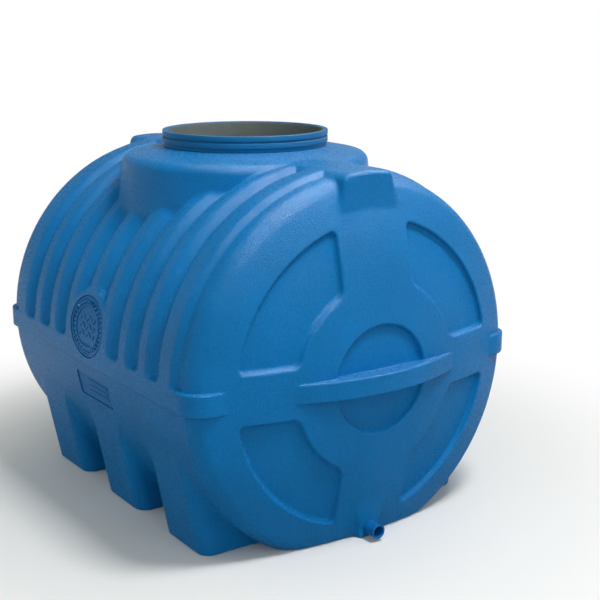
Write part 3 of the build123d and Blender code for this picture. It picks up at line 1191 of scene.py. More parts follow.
@dataclass(frozen=True)
class MouldedFinish:
    """Moulded polyethylene: fine grain, slow ripple, mottled colour, scuffs and dust."""

    name: str
    colour: Colour
    roughness: float = 0.28
    gloss: float = 0.10
    grain_scale: float = 330.0
    grain_height: float = 0.0029
    ripple_scale: float = 34.0
    ripple_height: float = 0.0012
    mottle: float = 0.10
    scuff: float = 0.07
    dust: float = 0.012
    bloom: float = 0.015
    dust_colour: Colour = (0.34, 0.33, 0.31, 1.0)
    mottle_scale: float = 5.0
    fleck_scale: float = 130.0
    fleck_share: float = 0.3
    tone_from: float = 0.30
    tone_to: float = 0.70
    fleck_rough: float = 0.10
    dust_rough: float = 0.5
    scuff_rough: float = 0.4
    scuff_gain: Spot = (1.0, 1.5, 1.2)
    scuff_lift: Spot = (0.0, 0.05, 0.05)
    refraction: float = 1.5
    bloom_rough: float = 0.45

    def worn_colour(self) -> Colour:
        """Paler colour of the rubbed streaks."""
        channels = zip(self.colour, self.scuff_gain, self.scuff_lift)
        return (*(min(value * gain + lift, 1) for value, gain, lift in channels), 1.0)

    def material(self) -> bpy.types.Material:
        """Build the material.

        Returns:
            The new material.
        """
        material = bpy.data.materials.new(self.name)
        sheet = blank_sheet(material)
        place = sheet.node("ShaderNodeTexCoord").outputs["Object"]
        mottle = self.noise(sheet, place, self.mottle_scale, 5.0, 0.55)
        fleck = self.noise(sheet, place, self.fleck_scale, 3.0, 0.6)
        broad = sheet.maths("MULTIPLY", mottle, 1 - self.fleck_share)
        mixed = sheet.maths("ADD", broad, sheet.maths("MULTIPLY", fleck, self.fleck_share))
        tone = sheet.node("ShaderNodeValToRGB", {0: mixed})
        stops = ((self.tone_from, 1 - self.mottle), (self.tone_to, 1 + self.mottle))
        for stop, (position, share) in zip(tone.color_ramp.elements, stops):
            stop.position = position
            stop.color = scaled(self.colour, share)
        scuffs = self.scuffs(sheet, place)
        worn = sheet.node("ShaderNodeMix", {0: scuffs, 6: tone.outputs[0]}, data_type="RGBA")
        worn.inputs[7].default_value = self.worn_colour()
        dust = self.dust_share(sheet, place)
        dusted = sheet.node("ShaderNodeMix", {0: dust, 6: worn.outputs[2]}, data_type="RGBA")
        dusted.inputs[7].default_value = self.dust_colour
        varied = sheet.maths("MULTIPLY", fleck, self.fleck_rough)
        rough = sheet.maths("ADD", varied, self.roughness - self.fleck_rough / 2)
        rough = sheet.maths("ADD", rough, sheet.maths("MULTIPLY", dust, self.dust_rough))
        rough = sheet.maths("ADD", rough, sheet.maths("MULTIPLY", scuffs, self.scuff_rough))
        ripple = self.noise(sheet, place, self.ripple_scale, 2.0, 0.5)
        grain = self.noise(sheet, place, self.grain_scale, 2.0, 0.5)
        low = sheet.node("ShaderNodeBump", {"Height": ripple})
        low.inputs["Distance"].default_value = self.ripple_height
        high = sheet.node("ShaderNodeBump", {"Height": grain, "Normal": low.outputs[0]})
        high.inputs["Distance"].default_value = self.grain_height
        surface = sheet.node("ShaderNodeBsdfPrincipled", {
            "Base Color": dusted.outputs[2], "Roughness": rough, "Normal": high.outputs[0],
        })
        surface.inputs["IOR"].default_value = self.refraction
        surface.inputs["Specular IOR Level"].default_value = self.gloss
        surface.inputs["Sheen Weight"].default_value = self.bloom
        surface.inputs["Sheen Roughness"].default_value = self.bloom_rough
        sheet.node("ShaderNodeOutputMaterial", {"Surface": surface.outputs[0]})
        return material

    @staticmethod
    def noise(
        sheet: Sheet, place: Socket, scale: float, detail: float, rough: float
    ) -> Socket:
        """Output of a noise texture on the piece's own coordinates."""
        inputs = {"Vector": place, "Scale": scale, "Detail": detail, "Roughness": rough}
        return sheet.node("ShaderNodeTexNoise", inputs).outputs[0]

    def scuffs(self, sheet: Sheet, place: Socket) -> Socket:
        """Share of fine rubbed streaks, in patches.

        Args:
            sheet: The material's nodes.
            place: The piece's own coordinates.

        Returns:
            The socket that gives the share, from 0 to the finish's scuff.
        """
        stretch = sheet.node("ShaderNodeMapping", {"Vector": place})
        stretch.inputs["Rotation"].default_value = (0.5, 0.2, 0.8)
        stretch.inputs["Scale"].default_value = (3.0, 40.0, 26.0)
        streak = self.noise(sheet, stretch.outputs[0], 6.0, 6.0, 0.7)
        patch = self.noise(sheet, place, 3.2, 2.0, 0.5)
        line = sheet.node("ShaderNodeMapRange", {0: streak, 1: 0.60, 2: 0.74})
        area = sheet.node("ShaderNodeMapRange", {0: patch, 1: 0.50, 2: 0.66})
        both = sheet.maths("MULTIPLY", line.outputs[0], area.outputs[0])
        return sheet.maths("MULTIPLY", both, self.scuff)

    def dust_share(self, sheet: Sheet, place: Socket) -> Socket:
        """Share of dust, most on faces that look up and low on the sides.

        Args:
            sheet: The material's nodes.
            place: The piece's own coordinates.

        Returns:
            The socket that gives the share.
        """
        normal = sheet.node("ShaderNodeNewGeometry").outputs["Normal"]
        upward = sheet.node("ShaderNodeSeparateXYZ", {0: normal}).outputs[2]
        height = sheet.node("ShaderNodeSeparateXYZ", {0: place}).outputs[2]
        settled = sheet.node("ShaderNodeMapRange", {0: upward, 1: 0.75, 2: 1.0, 4: 0.35})
        splashed = sheet.node("ShaderNodeMapRange", {0: height, 1: 0.16, 2: 0.0, 4: 0.9})
        cloud = self.noise(sheet, place, 9.0, 6.0, 0.65)
        thick = sheet.node("ShaderNodeMapRange", {0: cloud, 1: 0.35, 2: 0.75})
        total = sheet.maths("MAXIMUM", settled.outputs[0], splashed.outputs[0])
        share = sheet.maths("MULTIPLY", total, thick.outputs[0])
        return sheet.maths("MULTIPLY", share, self.dust)


@dataclass(frozen=True)
class Lathe:
    """Ring turned from a closed outline with rounded corners."""

    outline: tuple[tuple[float, float], ...]
    rounds: tuple[float, ...]
    segments: int = 192
    arc_steps: int = 5

    def rounded(self) -> list[tuple[float, float]]:
        """The outline with an arc in place of each corner.

        Returns:
            Pairs of radius and height.
        """
        result = []
        count = len(self.outline)
        for index, (corner, size) in enumerate(zip(self.outline, self.rounds)):
            here = Vector(corner)
            before = (Vector(self.outline[index - 1]) - here).normalized()
            after = (Vector(self.outline[(index + 1) % count]) - here).normalized()
            if size <= 0:
                result.append((here.x, here.y))
                continue
            half = before.angle(after) / 2
            reach = size / math.tan(half)
            centre = here + (before + after).normalized() * (size / math.sin(half))
            start = here + before * reach - centre
            stop = here + after * reach - centre
            for step in range(self.arc_steps + 1):
                spoke = start.lerp(stop, step / self.arc_steps).normalized() * size
                result.append((centre.x + spoke.x, centre.y + spoke.y))
        return result

    def build(
        self, name: str, axis: Vector = Vector((0, 0, 1)), origin: Vector = Vector()
    ) -> bpy.types.Object:
        """Turn the outline about an axis.

        Args:
            name: The object's name.
            axis: The axis, which heights are measured along.
            origin: The point on the axis at height 0.

        Returns:
            The closed ring.
        """
        profile = self.rounded()
        turn = Vector((0, 0, 1)).rotation_difference(axis)
        points, faces = [], []
        for step in range(self.segments):
            angle = 2 * math.pi * step / self.segments
            for radius, height in profile:
                spot = Vector((radius * math.cos(angle), radius * math.sin(angle), height))
                points.append(origin + turn @ spot)
        count = len(profile)
        for step in range(self.segments):
            ahead = (step + 1) % self.segments
            for index in range(count):
                beside = (index + 1) % count
                faces.append((
                    step * count + index, ahead * count + index,
                    ahead * count + beside, step * count + beside,
                ))
        mesh = bpy.data.meshes.new(name)
        mesh.from_pydata(points, [], faces)
        tools = bmesh.new()
        tools.from_mesh(mesh)
        return smoothed(name, mesh, tools)


class RuleTree:
    """Geometry node tree with named sizes, which ends as one plain mesh."""

    def __init__(self, name: str, sizes: dict[str, float]) -> None:
        """Start the tree.

        Args:
            name: The tree's name.
            sizes: The value of each named input.
        """
        self.name = name
        self.sizes = sizes
        self.tree = bpy.data.node_groups.new(name, "GeometryNodeTree")
        self.sheet = Sheet(self.tree)
        socket = self.tree.interface.new_socket
        socket("Geometry", in_out="INPUT", socket_type="NodeSocketGeometry")
        for label in sizes:
            socket(label, in_out="INPUT", socket_type="NodeSocketFloat")
        socket("Geometry", in_out="OUTPUT", socket_type="NodeSocketGeometry")
        self.given = self.sheet.node("NodeGroupInput").outputs

    def size(self, label: str) -> Socket:
        """Socket of one named size."""
        return self.given[label]

    def vector(self, x: object = 0.0, y: object = 0.0, z: object = 0.0) -> Socket:
        """Vector of three numbers or sockets."""
        return self.sheet.node("ShaderNodeCombineXYZ", {0: x, 1: y, 2: z}).outputs[0]

    def ring(
        self, radius: object, width: object, height: object, rounding: object, turns: int
    ) -> Socket:
        """Ring of a rounded rectangular section, lying flat.

        Args:
            radius: Radius of the section's centre.
            width: Width of the section across the ring.
            height: Height of the section.
            rounding: Radius of the section's corners.
            turns: Points round the ring.

        Returns:
            The ring's geometry.
        """
        circle = self.sheet.node("GeometryNodeCurvePrimitiveCircle", {
            "Resolution": turns, "Radius": radius,
        })
        return self.swept(circle.outputs[0], width, height, rounding)

    def swept(self, path: object, width: object, height: object, rounding: object) -> Socket:
        """Rounded rectangular bar along a path that lies flat.

        Args:
            path: The curve that it follows.
            width: Width of the bar.
            height: Height of the bar.
            rounding: Radius of its long edges.

        Returns:
            The bar's geometry.
        """
        section = self.sheet.node("GeometryNodeCurvePrimitiveQuadrilateral", {
            "Width": width, "Height": height,
        })
        soft = self.sheet.node("GeometryNodeFilletCurve", {
            "Curve": section.outputs[0],
        }, mode="POLY")
        for socket, value in (("Count", 3), ("Radius", rounding)):
            if isinstance(value, Socket):
                self.tree.links.new(value, soft.inputs[socket])
            else:
                soft.inputs[socket].default_value = value
        bar = self.sheet.node("GeometryNodeCurveToMesh", {
            "Curve": path, "Profile Curve": soft.outputs[0], "Fill Caps": True,
        })
        return bar.outputs[0]

    def repeated(self, piece: object, points: object, rotation: object = None) -> Socket:
        """Copies of a piece on points, optionally turned.

        Args:
            piece: The geometry that is repeated.
            points: Where the copies stand.
            rotation: How each copy is turned.

        Returns:
            The copies' geometry.
        """
        inputs = {"Points": points, "Instance": piece}
        if rotation is not None:
            inputs["Rotation"] = rotation
        return self.sheet.node("GeometryNodeInstanceOnPoints", inputs).outputs[0]

    def finish(self, parts: list[Socket], material: bpy.types.Material) -> bpy.types.Object:
        """Join the parts, end the tree and turn it into a plain mesh.

        Args:
            parts: The geometry to join.
            material: The finish of all of it.

        Returns:
            An object with a plain mesh.
        """
        join = self.sheet.node("GeometryNodeJoinGeometry")
        for part in parts:
            self.tree.links.new(part, join.inputs[0])
        real = self.sheet.node("GeometryNodeRealizeInstances", {0: join.outputs[0]})
        dressed = self.sheet.node("GeometryNodeSetMaterial", {
            "Geometry": real.outputs[0], "Material": material,
        })
        self.sheet.node("NodeGroupOutput", {0: dressed.outputs[0]})
        base = placed(self.name, bpy.data.meshes.new(self.name))
        modifier = base.modifiers.new(self.name, "NODES")
        modifier.node_group = self.tree
        for item in self.tree.interface.items_tree:
            if item.in_out == "INPUT" and item.name in self.sizes:
                modifier[item.identifier] = self.sizes[item.name]
        graph = bpy.context.evaluated_depsgraph_get()
        mesh = bpy.data.meshes.new_from_object(base.evaluated_get(graph), depsgraph=graph)
        bpy.data.objects.remove(base)
        mesh.name = self.name
        tools = bmesh.new()
        tools.from_mesh(mesh)
        bmesh.ops.remove_doubles(tools, verts=tools.verts, dist=1e-6)
        return smoothed(self.name, mesh, tools)


class Finish(Enum):
    """The finishes of the tank, by the record's material slots."""

    SHELL = "blue_shell"
    COLLAR = "collar_blue"
    LINING = "inner_layer"
    OUTLET = "spout_blue"
    MARK = "mark_blue"


@dataclass
class Palette:
    """One material for each finish."""

    materials: dict[Finish, bpy.types.Material] = field(default_factory=dict)

    def __post_init__(self) -> None:
        """Build the five materials."""
        blue = linear(8, 117, 186)
        finishes = {
            Finish.SHELL: MouldedFinish("moulded_blue", blue),
            Finish.COLLAR: MouldedFinish(
                "collar_blue", linear(20, 106, 160), roughness=0.42, dust=0.22),
            Finish.LINING: MouldedFinish(
                "inner_layer_grey", linear(100, 110, 108), roughness=0.55, mottle=0.10, scuff=0.2),
            Finish.OUTLET: MouldedFinish(
                "outlet_blue", linear(14, 106, 176), roughness=0.34, grain_height=0.0002),
            Finish.MARK: MouldedFinish(
                "mark_blue", linear(16, 106, 172), roughness=0.40, grain_height=0.0002),
        }
        self.materials = {finish: look.material() for finish, look in finishes.items()}

    def dress(self, piece: bpy.types.Object, finish: Finish, *nodes: str) -> None:
        """Give a piece its material and its place in the frame.

        Args:
            piece: The finished piece.
            finish: Its finish.
            *nodes: The solids that it stands for.
        """
        piece.data.materials.clear()
        piece.data.materials.append(self.materials[finish])
        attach(piece, BODY)
        if nodes:
            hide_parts(*nodes)
        LOG.info("%s: %d faces, %s", piece.name, len(piece.data.polygons), finish.value)


@dataclass
class TankBody:
    """The moulded body in its four pieces."""

    mould: Moulding = field(default_factory=Moulding)

    def build(self, palette: Palette) -> None:
        """Mesh the body and dress its pieces.

        Args:
            palette: The finishes.
        """
        sides = ("left", "right")
        stands_for = {
            Zone.UPPER: ["tower_wall", "tower_deck"]
            + [f"{part}_{side}" for part in ("upper_wall", "side_belt") for side in sides],
            Zone.LOWER: ["base_pan"] + [f"lower_wall_{side}" for side in sides]
            + [f"foot_{side}_{place}" for side in sides for place in ("rear", "middle", "front")],
        }
        for zone, end in ((Zone.FRONT, "front"), (Zone.REAR, "rear")):
            stands_for[zone] = [f"{end}_end_wall", f"end_ledge_{end}", f"crown_beam_{end}"]
            for part in ("shoulder", "haunch"):
                stands_for[zone] += [f"{part}_{end}_{side}" for side in sides]
            stands_for[zone] += [f"lug_{side}_{end}" for side in sides]
        names = {
            Zone.UPPER: "upper_shell", Zone.LOWER: "lower_shell",
            Zone.FRONT: "front_end", Zone.REAR: "rear_end",
        }
        for zone, mesh in BodyPieces(self.mould).build().items():
            palette.dress(mesh.to_object(names[zone]), Finish.SHELL, *stands_for[zone])


@dataclass
class Neck:
    """Collar with two thread lands, and the inner layer that shows inside it."""

    deck_z: float = 1.193
    rim_z: float = 1.247
    bore: float = 0.266
    radius: float = 0.284
    land_height: float = 0.018
    land_gap: float = 0.005
    land_depth: float = 0.005
    lands: int = 2
    rounding: float = 0.0022
    lining: float = 0.003
    lining_setback: float = 0.003
    wall: float = 0.008

    def collar(self, material: bpy.types.Material) -> bpy.types.Object:
        """Collar from its rule: a tube with a land repeated down from the rim.

        Args:
            material: The collar's finish.

        Returns:
            The collar as a plain mesh.
        """
        rule = RuleTree("neck_collar_threaded", {
            "Bore": self.bore, "Radius": self.radius, "Deck": self.deck_z, "Rim": self.rim_z,
            "Land height": self.land_height, "Land gap": self.land_gap,
            "Land depth": self.land_depth, "Lands": self.lands, "Rounding": self.rounding,
        })
        sums = rule.sheet.maths
        root = sums("SUBTRACT", rule.size("Radius"), rule.size("Land depth"))
        height = sums("SUBTRACT", rule.size("Rim"), rule.size("Deck"))
        width = sums("SUBTRACT", root, rule.size("Bore"))
        middle = sums("MULTIPLY", sums("ADD", root, rule.size("Bore")), 0.5)
        tube = rule.ring(middle, width, height, rule.size("Rounding"), 256)
        tube_z = sums("MULTIPLY", sums("ADD", rule.size("Rim"), rule.size("Deck")), 0.5)
        tube = rule.sheet.node("GeometryNodeTransform", {
            "Geometry": tube, "Translation": rule.vector(z=tube_z),
        }).outputs[0]
        depth = sums("ADD", rule.size("Land depth"), rule.size("Rounding"))
        depth = sums("ADD", depth, rule.size("Rounding"))
        land_radius = sums("SUBTRACT", rule.size("Radius"), sums("MULTIPLY", depth, 0.5))
        land = rule.ring(land_radius, depth, rule.size("Land height"), rule.size("Rounding"), 256)
        pitch = sums("ADD", rule.size("Land height"), rule.size("Land gap"))
        first = sums("SUBTRACT", rule.size("Rim"), sums("MULTIPLY", rule.size("Land height"), 0.5))
        line = rule.sheet.node("GeometryNodeMeshLine", {
            "Count": rule.size("Lands"), "Start Location": rule.vector(z=first),
            "Offset": rule.vector(z=sums("MULTIPLY", pitch, -1.0)),
        })
        return rule.finish([tube, rule.repeated(land, line.outputs[0])], material)

    def build(self, palette: Palette) -> None:
        """Build and dress the collar and the inner layer.

        Args:
            palette: The finishes.
        """
        collar = self.collar(palette.materials[Finish.COLLAR])
        palette.dress(collar, Finish.COLLAR, "neck_collar")
        inner = self.bore - self.lining
        low, high = self.deck_z - self.wall, self.rim_z - self.lining_setback
        outline = ((inner, low), (self.bore, low), (self.bore, high), (inner, high))
        ring = Lathe(outline, (0.0, 0.0, 0.0006, 0.0012)).build("neck_inner_layer")
        palette.dress(ring, Finish.LINING, "neck_lining")


@dataclass
class Outlet:
    """Drain tube low on the front end."""

    height: float = 0.034
    radius: float = 0.024
    bore: float = 0.019
    lip: float = 0.0015

    def build(self, palette: Palette) -> None:
        """Build and dress the tube.

        Args:
            palette: The finishes.
        """
        low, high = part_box("outlet_spout")
        length = high[0] - low[0]
        bead = self.radius - 0.0008
        outline = (
            (self.bore, 0.0), (bead, 0.0), (bead, length - 0.006), (self.radius, length - 0.005),
            (self.radius, length), (self.bore, length),
        )
        rounds = (0.0, 0.0, 0.0004, 0.0004, self.lip, self.lip)
        tube = Lathe(outline, rounds, segments=96)
        piece = tube.build("outlet_tube", Vector((1, 0, 0)), Vector((low[0], 0, self.height)))
        palette.dress(piece, Finish.OUTLET, "outlet_spout")


@dataclass
class SideMarks:
    """Round medallion and plate that lie in recesses of the left side."""

    mould: Moulding = field(default_factory=Moulding)
    thickness: float = 0.002
    clearance: float = 0.003
    relief: float = 0.0024
    ticks: int = 32
    tick_length: float = 0.017
    tick_width: float = 0.0065
    tick_radius_share: float = 0.83
    ring_width: float = 0.006
    ring_radius_shares: tuple[float, float] = (0.955, 0.70)
    edge_round: float = 0.0004
    wave_count: int = 3
    wave_pitch: float = 0.026
    wave_length: float = 0.042
    wave_swing: float = 0.008
    wave_width: float = 0.0075
    wave_half_share: float = 0.46
    rim_from: float = 0.003
    rim_to: float = 0.008
    bend_rounds: int = 8
    bend_reach: float = 1e-4
    bend_slope: float = -0.2

    def lay(self, piece: bpy.types.Object, centre_z: float, stretch: float = 1.0) -> None:
        """Bend a flat piece onto the floor of its recess.

        Args:
            piece: Flat piece, its height measured from the recess floor.
            centre_z: Height of its centre on the tank.
            stretch: How much longer it becomes along the tank.
        """
        count = len(piece.data.vertices)
        flat = np.empty(count * 3)
        piece.data.vertices.foreach_get("co", flat)
        flat = flat.reshape(-1, 3).T
        level = flat[2] - self.mould.recess_depth
        start_y = np.full(count, -self.mould.barrel.crest)
        spot = np.stack([flat[0] * stretch, start_y, flat[1] + centre_z])
        reach = np.array([[0.0], [self.bend_reach], [0.0]])
        distance = self.mould.distance
        for _ in range(self.bend_rounds):
            slope = (distance(spot + reach) - distance(spot - reach)) / (2 * self.bend_reach)
            spot[1] -= (distance(spot) - level) / np.minimum(slope, self.bend_slope)
        spot[1] = np.maximum(spot[1], -self.mould.barrel.crest)
        piece.data.vertices.foreach_set("co", spot.T.ravel())
        piece.data.update()

    def medallion(self, material: bpy.types.Material) -> bpy.types.Object:
        """Plain round medallion with rings, rays and three waves.

        Args:
            material: Its finish.

        Returns:
            The flat medallion.
        """
        rule = RuleTree("side_medallion", {
            "Radius": self.mould.medallion_radius - self.clearance, "Thickness": self.thickness,
            "Relief": self.relief, "Ticks": self.ticks, "Ring width": self.ring_width,
        })
        sums = rule.sheet.maths
        grid = rule.sheet.node("GeometryNodeMeshCircle", {
            "Vertices": 96, "Radius": rule.size("Radius"),
        }, fill_type="TRIANGLE_FAN")
        fine = rule.sheet.node("GeometryNodeSubdivideMesh", {"Mesh": grid.outputs[0], "Level": 4})
        body = rule.sheet.node("GeometryNodeExtrudeMesh", {
            "Mesh": fine.outputs[0], "Offset Scale": rule.size("Thickness"), "Individual": False,
        })
        base = rule.sheet.node("GeometryNodeFlipFaces", {"Mesh": fine.outputs[0]})
        parts = [body.outputs[0], base.outputs[0]]
        high = sums("ADD", rule.size("Thickness"), sums("MULTIPLY", rule.size("Relief"), 0.2))
        tall = sums("MULTIPLY", rule.size("Relief"), 1.6)
        for share in self.ring_radius_shares:
            radius = sums("MULTIPLY", rule.size("Radius"), share)
            band = rule.ring(radius, rule.size("Ring width"), tall, self.edge_round, 160)
            parts.append(self.raised(rule, band, high))
        radius = sums("MULTIPLY", rule.size("Radius"), self.tick_radius_share)
        dial = rule.sheet.node("GeometryNodeCurvePrimitiveCircle", {
            "Resolution": 192, "Radius": radius,
        })
        spots = rule.sheet.node("GeometryNodeCurveToPoints", {
            "Curve": dial.outputs[0], "Count": rule.size("Ticks"),
        }, mode="COUNT")
        line = rule.sheet.node("GeometryNodeCurvePrimitiveLine", {
            "Start": (0, -self.tick_length / 2, 0), "End": (0, self.tick_length / 2, 0),
        })
        bar = rule.swept(line.outputs[0], self.tick_width, tall, self.edge_round)
        ticks = rule.repeated(bar, spots.outputs[0], spots.outputs["Rotation"])
        parts.append(self.raised(rule, ticks, high))
        parts.append(self.raised(rule, self.waves(rule, tall), high))
        return rule.finish(parts, material)

    @staticmethod
    def raised(rule: RuleTree, part: Socket, height: Socket) -> Socket:
        """A part moved up to a height."""
        move = {"Geometry": part, "Translation": rule.vector(z=height)}
        return rule.sheet.node("GeometryNodeTransform", move).outputs[0]

    def waves(self, rule: RuleTree, tall: Socket) -> Socket:
        """Three wave lines, one above the other.

        Args:
            rule: The medallion's tree.
            tall: Height of the relief.

        Returns:
            The waves' geometry.
        """
        sums = rule.sheet.maths
        half = sums("MULTIPLY", rule.size("Radius"), self.wave_half_share)
        line = rule.sheet.node("GeometryNodeCurvePrimitiveLine", {
            "Start": rule.vector(x=sums("MULTIPLY", half, -1.0)), "End": rule.vector(x=half),
        })
        many = rule.sheet.node("GeometryNodeResampleCurve", {"Curve": line.outputs[0], "Count": 72})
        place = rule.sheet.node("GeometryNodeInputPosition").outputs[0]
        along = rule.sheet.node("ShaderNodeSeparateXYZ", {0: place}).outputs[0]
        swing = sums("SINE", sums("MULTIPLY", along, 2 * math.pi / self.wave_length))
        bent = rule.sheet.node("GeometryNodeSetPosition", {
            "Geometry": many.outputs[0],
            "Offset": rule.vector(y=sums("MULTIPLY", swing, self.wave_swing)),
        })
        bar = rule.swept(bent.outputs[0], self.wave_width, tall, self.edge_round)
        rows = rule.sheet.node("GeometryNodeMeshLine", {
            "Count": self.wave_count, "Start Location": (0, -self.wave_pitch, 0),
            "Offset": (0, self.wave_pitch, 0),
        })
        return rule.repeated(bar, rows.outputs[0])

    def plate_lines(self, material: bpy.types.Material) -> bpy.types.Object:
        """Plain ruled lines that stand on the plate.

        Args:
            material: Their finish.

        Returns:
            The flat lines.
        """
        rule = RuleTree("side_plate_lines", {
            "Length": 1.15 * self.mould.plate_half_length, "Pitch": 0.019, "Lines": 3,
            "Width": 0.008, "Height": 2 * self.relief, "Base": self.thickness,
        })
        half = rule.sheet.maths("MULTIPLY", rule.size("Length"), 0.5)
        line = rule.sheet.node("GeometryNodeCurvePrimitiveLine", {
            "Start": rule.vector(x=rule.sheet.maths("MULTIPLY", half, -1.0)),
            "End": rule.vector(x=half),
        })
        fine = rule.sheet.node("GeometryNodeResampleCurve", {"Curve": line.outputs[0], "Count": 24})
        bar = rule.swept(fine.outputs[0], rule.size("Width"), rule.size("Height"), 0.0006)
        rows = rule.sheet.node("GeometryNodeMeshLine", {
            "Count": rule.size("Lines"),
            "Start Location": rule.vector(x=0.026, y=0.022, z=rule.size("Base")),
            "Offset": rule.vector(y=rule.sheet.maths("MULTIPLY", rule.size("Pitch"), -1.0)),
        })
        return rule.finish([rule.repeated(bar, rows.outputs[0])], material)

    def plate(self) -> bpy.types.Object:
        """Bare plate with a raised rim.

        Returns:
            The flat plate.
        """
        half_x = self.mould.plate_half_length - self.clearance
        half_z = self.mould.plate_height / 2 - self.clearance
        tools = bmesh.new()
        columns, rows = 60, 24
        for row in range(rows + 1):
            for column in range(columns + 1):
                x = (column / columns * 2 - 1) * half_x
                z = (row / rows * 2 - 1) * half_z
                edge = min(half_x - abs(x), half_z - abs(z))
                rim = 1.0 if self.rim_from < edge < self.rim_to else 0.0
                tools.verts.new((x, z, self.thickness + rim * self.relief * 0.5))
        tools.verts.ensure_lookup_table()
        top = []
        for row in range(rows):
            for column in range(columns):
                a = row * (columns + 1) + column
                ring = (a, a + 1, a + columns + 2, a + columns + 1)
                top.append(tools.faces.new([tools.verts[i] for i in ring]))
        lower = bmesh.ops.duplicate(tools, geom=tools.verts[:] + tools.edges[:] + tools.faces[:])
        for part in lower["geom"]:
            if isinstance(part, bmesh.types.BMVert):
                part.co.z = 0.0
        rims = [edge for edge in tools.edges if edge.is_boundary]
        bmesh.ops.bridge_loops(tools, edges=rims)
        name = "side_plate_bare"
        return smoothed(name, bpy.data.meshes.new(name), tools)

    def build(self, palette: Palette) -> None:
        """Build, bend and dress the medallion and the plate.

        Args:
            palette: The finishes.
        """
        axis_z = self.mould.barrel.axis_z
        medallion = self.medallion(palette.materials[Finish.MARK])
        self.lay(medallion, axis_z + self.mould.medallion_rise, self.mould.medallion_stretch)
        palette.dress(medallion, Finish.MARK, "medallion")
        plate_z = axis_z - self.mould.plate_fall - self.mould.plate_height / 2
        plate = self.plate()
        self.lay(plate, plate_z)
        palette.dress(plate, Finish.MARK, "side_plate")
        lines = self.plate_lines(palette.materials[Finish.MARK])
        self.lay(lines, plate_z)
        palette.dress(lines, Finish.MARK)


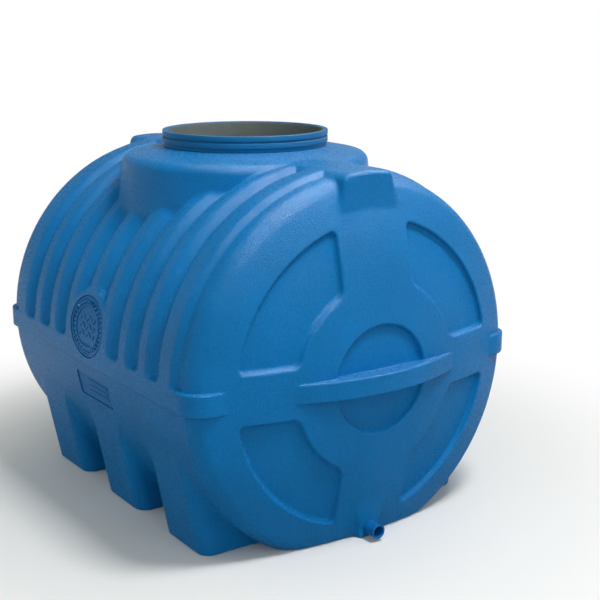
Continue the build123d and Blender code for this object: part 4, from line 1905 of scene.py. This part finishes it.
@dataclass
class Studio:
    """Pale floor, white surroundings, soft lamps and the camera.

    The world is white to camera rays. Glossy rays see its plain ambient light at the
    share named mirrored, and transmission rays see that light in full.
    """

    eye: Spot = (3.3977, -2.1706, 1.6317)
    yaw: float = 144.75
    pitch: float = 13.85
    lens: float = 69.81
    sensor: float = 36.0
    aim_z: float = 0.6
    floor_half: float = 30.0
    floor_colour: Colour = (0.85, 0.85, 0.85, 1.0)
    fade_start: float = 0.8
    fade_end: float = 2.0
    ambient_colour: Colour = (0.96, 1.0, 0.94, 1.0)
    ambient_above: float = 0.26
    ambient_level: float = 1.06
    mirrored: float = 0.40
    key_place: Spot = (2.1, 0.45, 4.6)
    key_power: float = 138.0
    key_size: float = 1.15
    fill_place: Spot = (5.0, 0.2, 2.0)
    fill_power: float = 8.0
    fill_size: float = 3.0
    gleam_place: Spot = (1.0, 1.5, 5.0)
    gleam_power: float = 1600.0
    gleam_size: float = 1.9
    bounce_colour: Colour = (0.38, 0.38, 0.38, 1.0)

    def camera(self) -> None:
        """Place the camera at the photograph's viewing angle."""
        data = bpy.data.cameras.new("camera")
        data.lens = self.lens
        data.sensor_width = self.sensor
        camera = placed("camera", data)
        yaw, pitch = math.radians(self.yaw), math.radians(self.pitch)
        level = math.cos(pitch)
        aim = Vector((math.cos(yaw) * level, math.sin(yaw) * level, -math.sin(pitch)))
        camera.location = self.eye
        camera.rotation_euler = aim.to_track_quat("-Z", "Y").to_euler()
        bpy.context.scene.camera = camera

    @staticmethod
    def seen(sheet: Sheet) -> Socket:
        """Share of rays that show the backdrop: camera, glossy and transmission rays.

        Args:
            sheet: The nodes that it is added to.

        Returns:
            The socket that gives 1 for such a ray and 0 for any other.
        """
        path = sheet.node("ShaderNodeLightPath").outputs
        first = sheet.maths("MAXIMUM", path["Is Camera Ray"], path["Is Glossy Ray"])
        return sheet.maths("MAXIMUM", first, path["Is Transmission Ray"])

    def world(self) -> None:
        """White surroundings to the eye, and a plain ambient light."""
        world = bpy.data.worlds.new("surroundings")
        sheet = blank_sheet(world)
        way = sheet.node("ShaderNodeTexCoord").outputs["Generated"]
        rise = sheet.node("ShaderNodeSeparateXYZ", {0: way}).outputs[2]
        strength = sheet.node("ShaderNodeMapRange", {
            0: rise, 1: 0.0, 2: 1.0, 3: self.ambient_level, 4: self.ambient_above,
        })
        path = sheet.node("ShaderNodeLightPath").outputs
        dim = sheet.maths("MULTIPLY", path["Is Glossy Ray"], 1 - self.mirrored)
        strength = sheet.maths("MULTIPLY", strength.outputs[0], sheet.maths("SUBTRACT", 1.0, dim))
        light = sheet.node("ShaderNodeBackground", {"Strength": strength})
        light.inputs["Color"].default_value = self.ambient_colour
        white = sheet.node("ShaderNodeBackground", {"Strength": 1.0})
        white.inputs["Color"].default_value = WHITE
        mix = sheet.node("ShaderNodeMixShader", {
            0: path["Is Camera Ray"], 1: light.outputs[0], 2: white.outputs[0],
        })
        sheet.node("ShaderNodeOutputWorld", {"Surface": mix.outputs[0]})
        bpy.context.scene.world = world

    def floor(self) -> None:
        """Pale floor that keeps the shadow and fades to white away from the tank."""
        mesh = bpy.data.meshes.new("floor")
        half = self.floor_half
        corners = [(-half, -half, 0.0), (half, -half, 0.0), (half, half, 0.0), (-half, half, 0.0)]
        mesh.from_pydata(corners, [], [(0, 1, 2, 3)])
        floor = placed("floor", mesh)
        material = bpy.data.materials.new("pale_floor")
        sheet = blank_sheet(material)
        matt = sheet.node("ShaderNodeBsdfDiffuse")
        matt.inputs["Color"].default_value = self.floor_colour
        dim = sheet.node("ShaderNodeBsdfDiffuse")
        dim.inputs["Color"].default_value = self.bounce_colour
        path = sheet.node("ShaderNodeLightPath").outputs["Is Camera Ray"]
        lit = sheet.node("ShaderNodeMixShader", {0: path, 1: dim.outputs[0], 2: matt.outputs[0]})
        white = sheet.node("ShaderNodeEmission", {"Strength": 1.0})
        white.inputs["Color"].default_value = WHITE
        place = sheet.node("ShaderNodeTexCoord").outputs["Object"]
        away = sheet.node("ShaderNodeVectorMath", {0: place}, operation="LENGTH").outputs["Value"]
        fade = sheet.node("ShaderNodeMapRange", {0: away, 1: self.fade_start, 2: self.fade_end},
                          interpolation_type="SMOOTHSTEP")
        shown = sheet.maths("MULTIPLY", fade.outputs[0], self.seen(sheet))
        mix = sheet.node("ShaderNodeMixShader", {0: shown, 1: lit.outputs[0], 2: white.outputs[0]})
        sheet.node("ShaderNodeOutputMaterial", {"Surface": mix.outputs[0]})
        mesh.materials.append(material)

    def lamp(self, name: str, place: Spot, power: float, size: float) -> bpy.types.Object:
        """Add one square lamp that faces the tank.

        Args:
            name: The lamp's name.
            place: Where it hangs.
            power: Its power in watts.
            size: Length of its sides.

        Returns:
            The lamp.
        """
        data = bpy.data.lights.new(name, "AREA")
        data.energy = power
        data.size = size
        lamp = placed(name, data)
        lamp.location = place
        aim = Vector((0, 0, self.aim_z)) - Vector(place)
        lamp.rotation_euler = aim.to_track_quat("-Z", "Y").to_euler()
        return lamp

    def lamps(self) -> None:
        """Two soft lamps that light the tank, and one above that only gives gloss."""
        key = self.lamp("key", self.key_place, self.key_power, self.key_size)
        fill = self.lamp("fill", self.fill_place, self.fill_power, self.fill_size)
        gleam = self.lamp("gleam", self.gleam_place, self.gleam_power, self.gleam_size)
        key.visible_glossy = False
        fill.visible_glossy = False
        gleam.visible_diffuse = False

    def build(self) -> None:
        """Set the scene round the tank."""
        bpy.context.scene.view_settings.view_transform = "Standard"
        self.camera()
        self.world()
        self.floor()
        self.lamps()
        LOG.info("studio and camera are set")


def main() -> None:
    """Build the scene."""
    logging.basicConfig(level=logging.INFO, format="%(name)s: %(message)s")
    Studio().build()
    palette = Palette()
    mould = Moulding()
    TankBody(mould).build(palette)
    Neck().build(palette)
    Outlet().build(palette)
    SideMarks(mould).build(palette)
    bpy.context.view_layer.update()


if __name__ == "__main__":
    main()
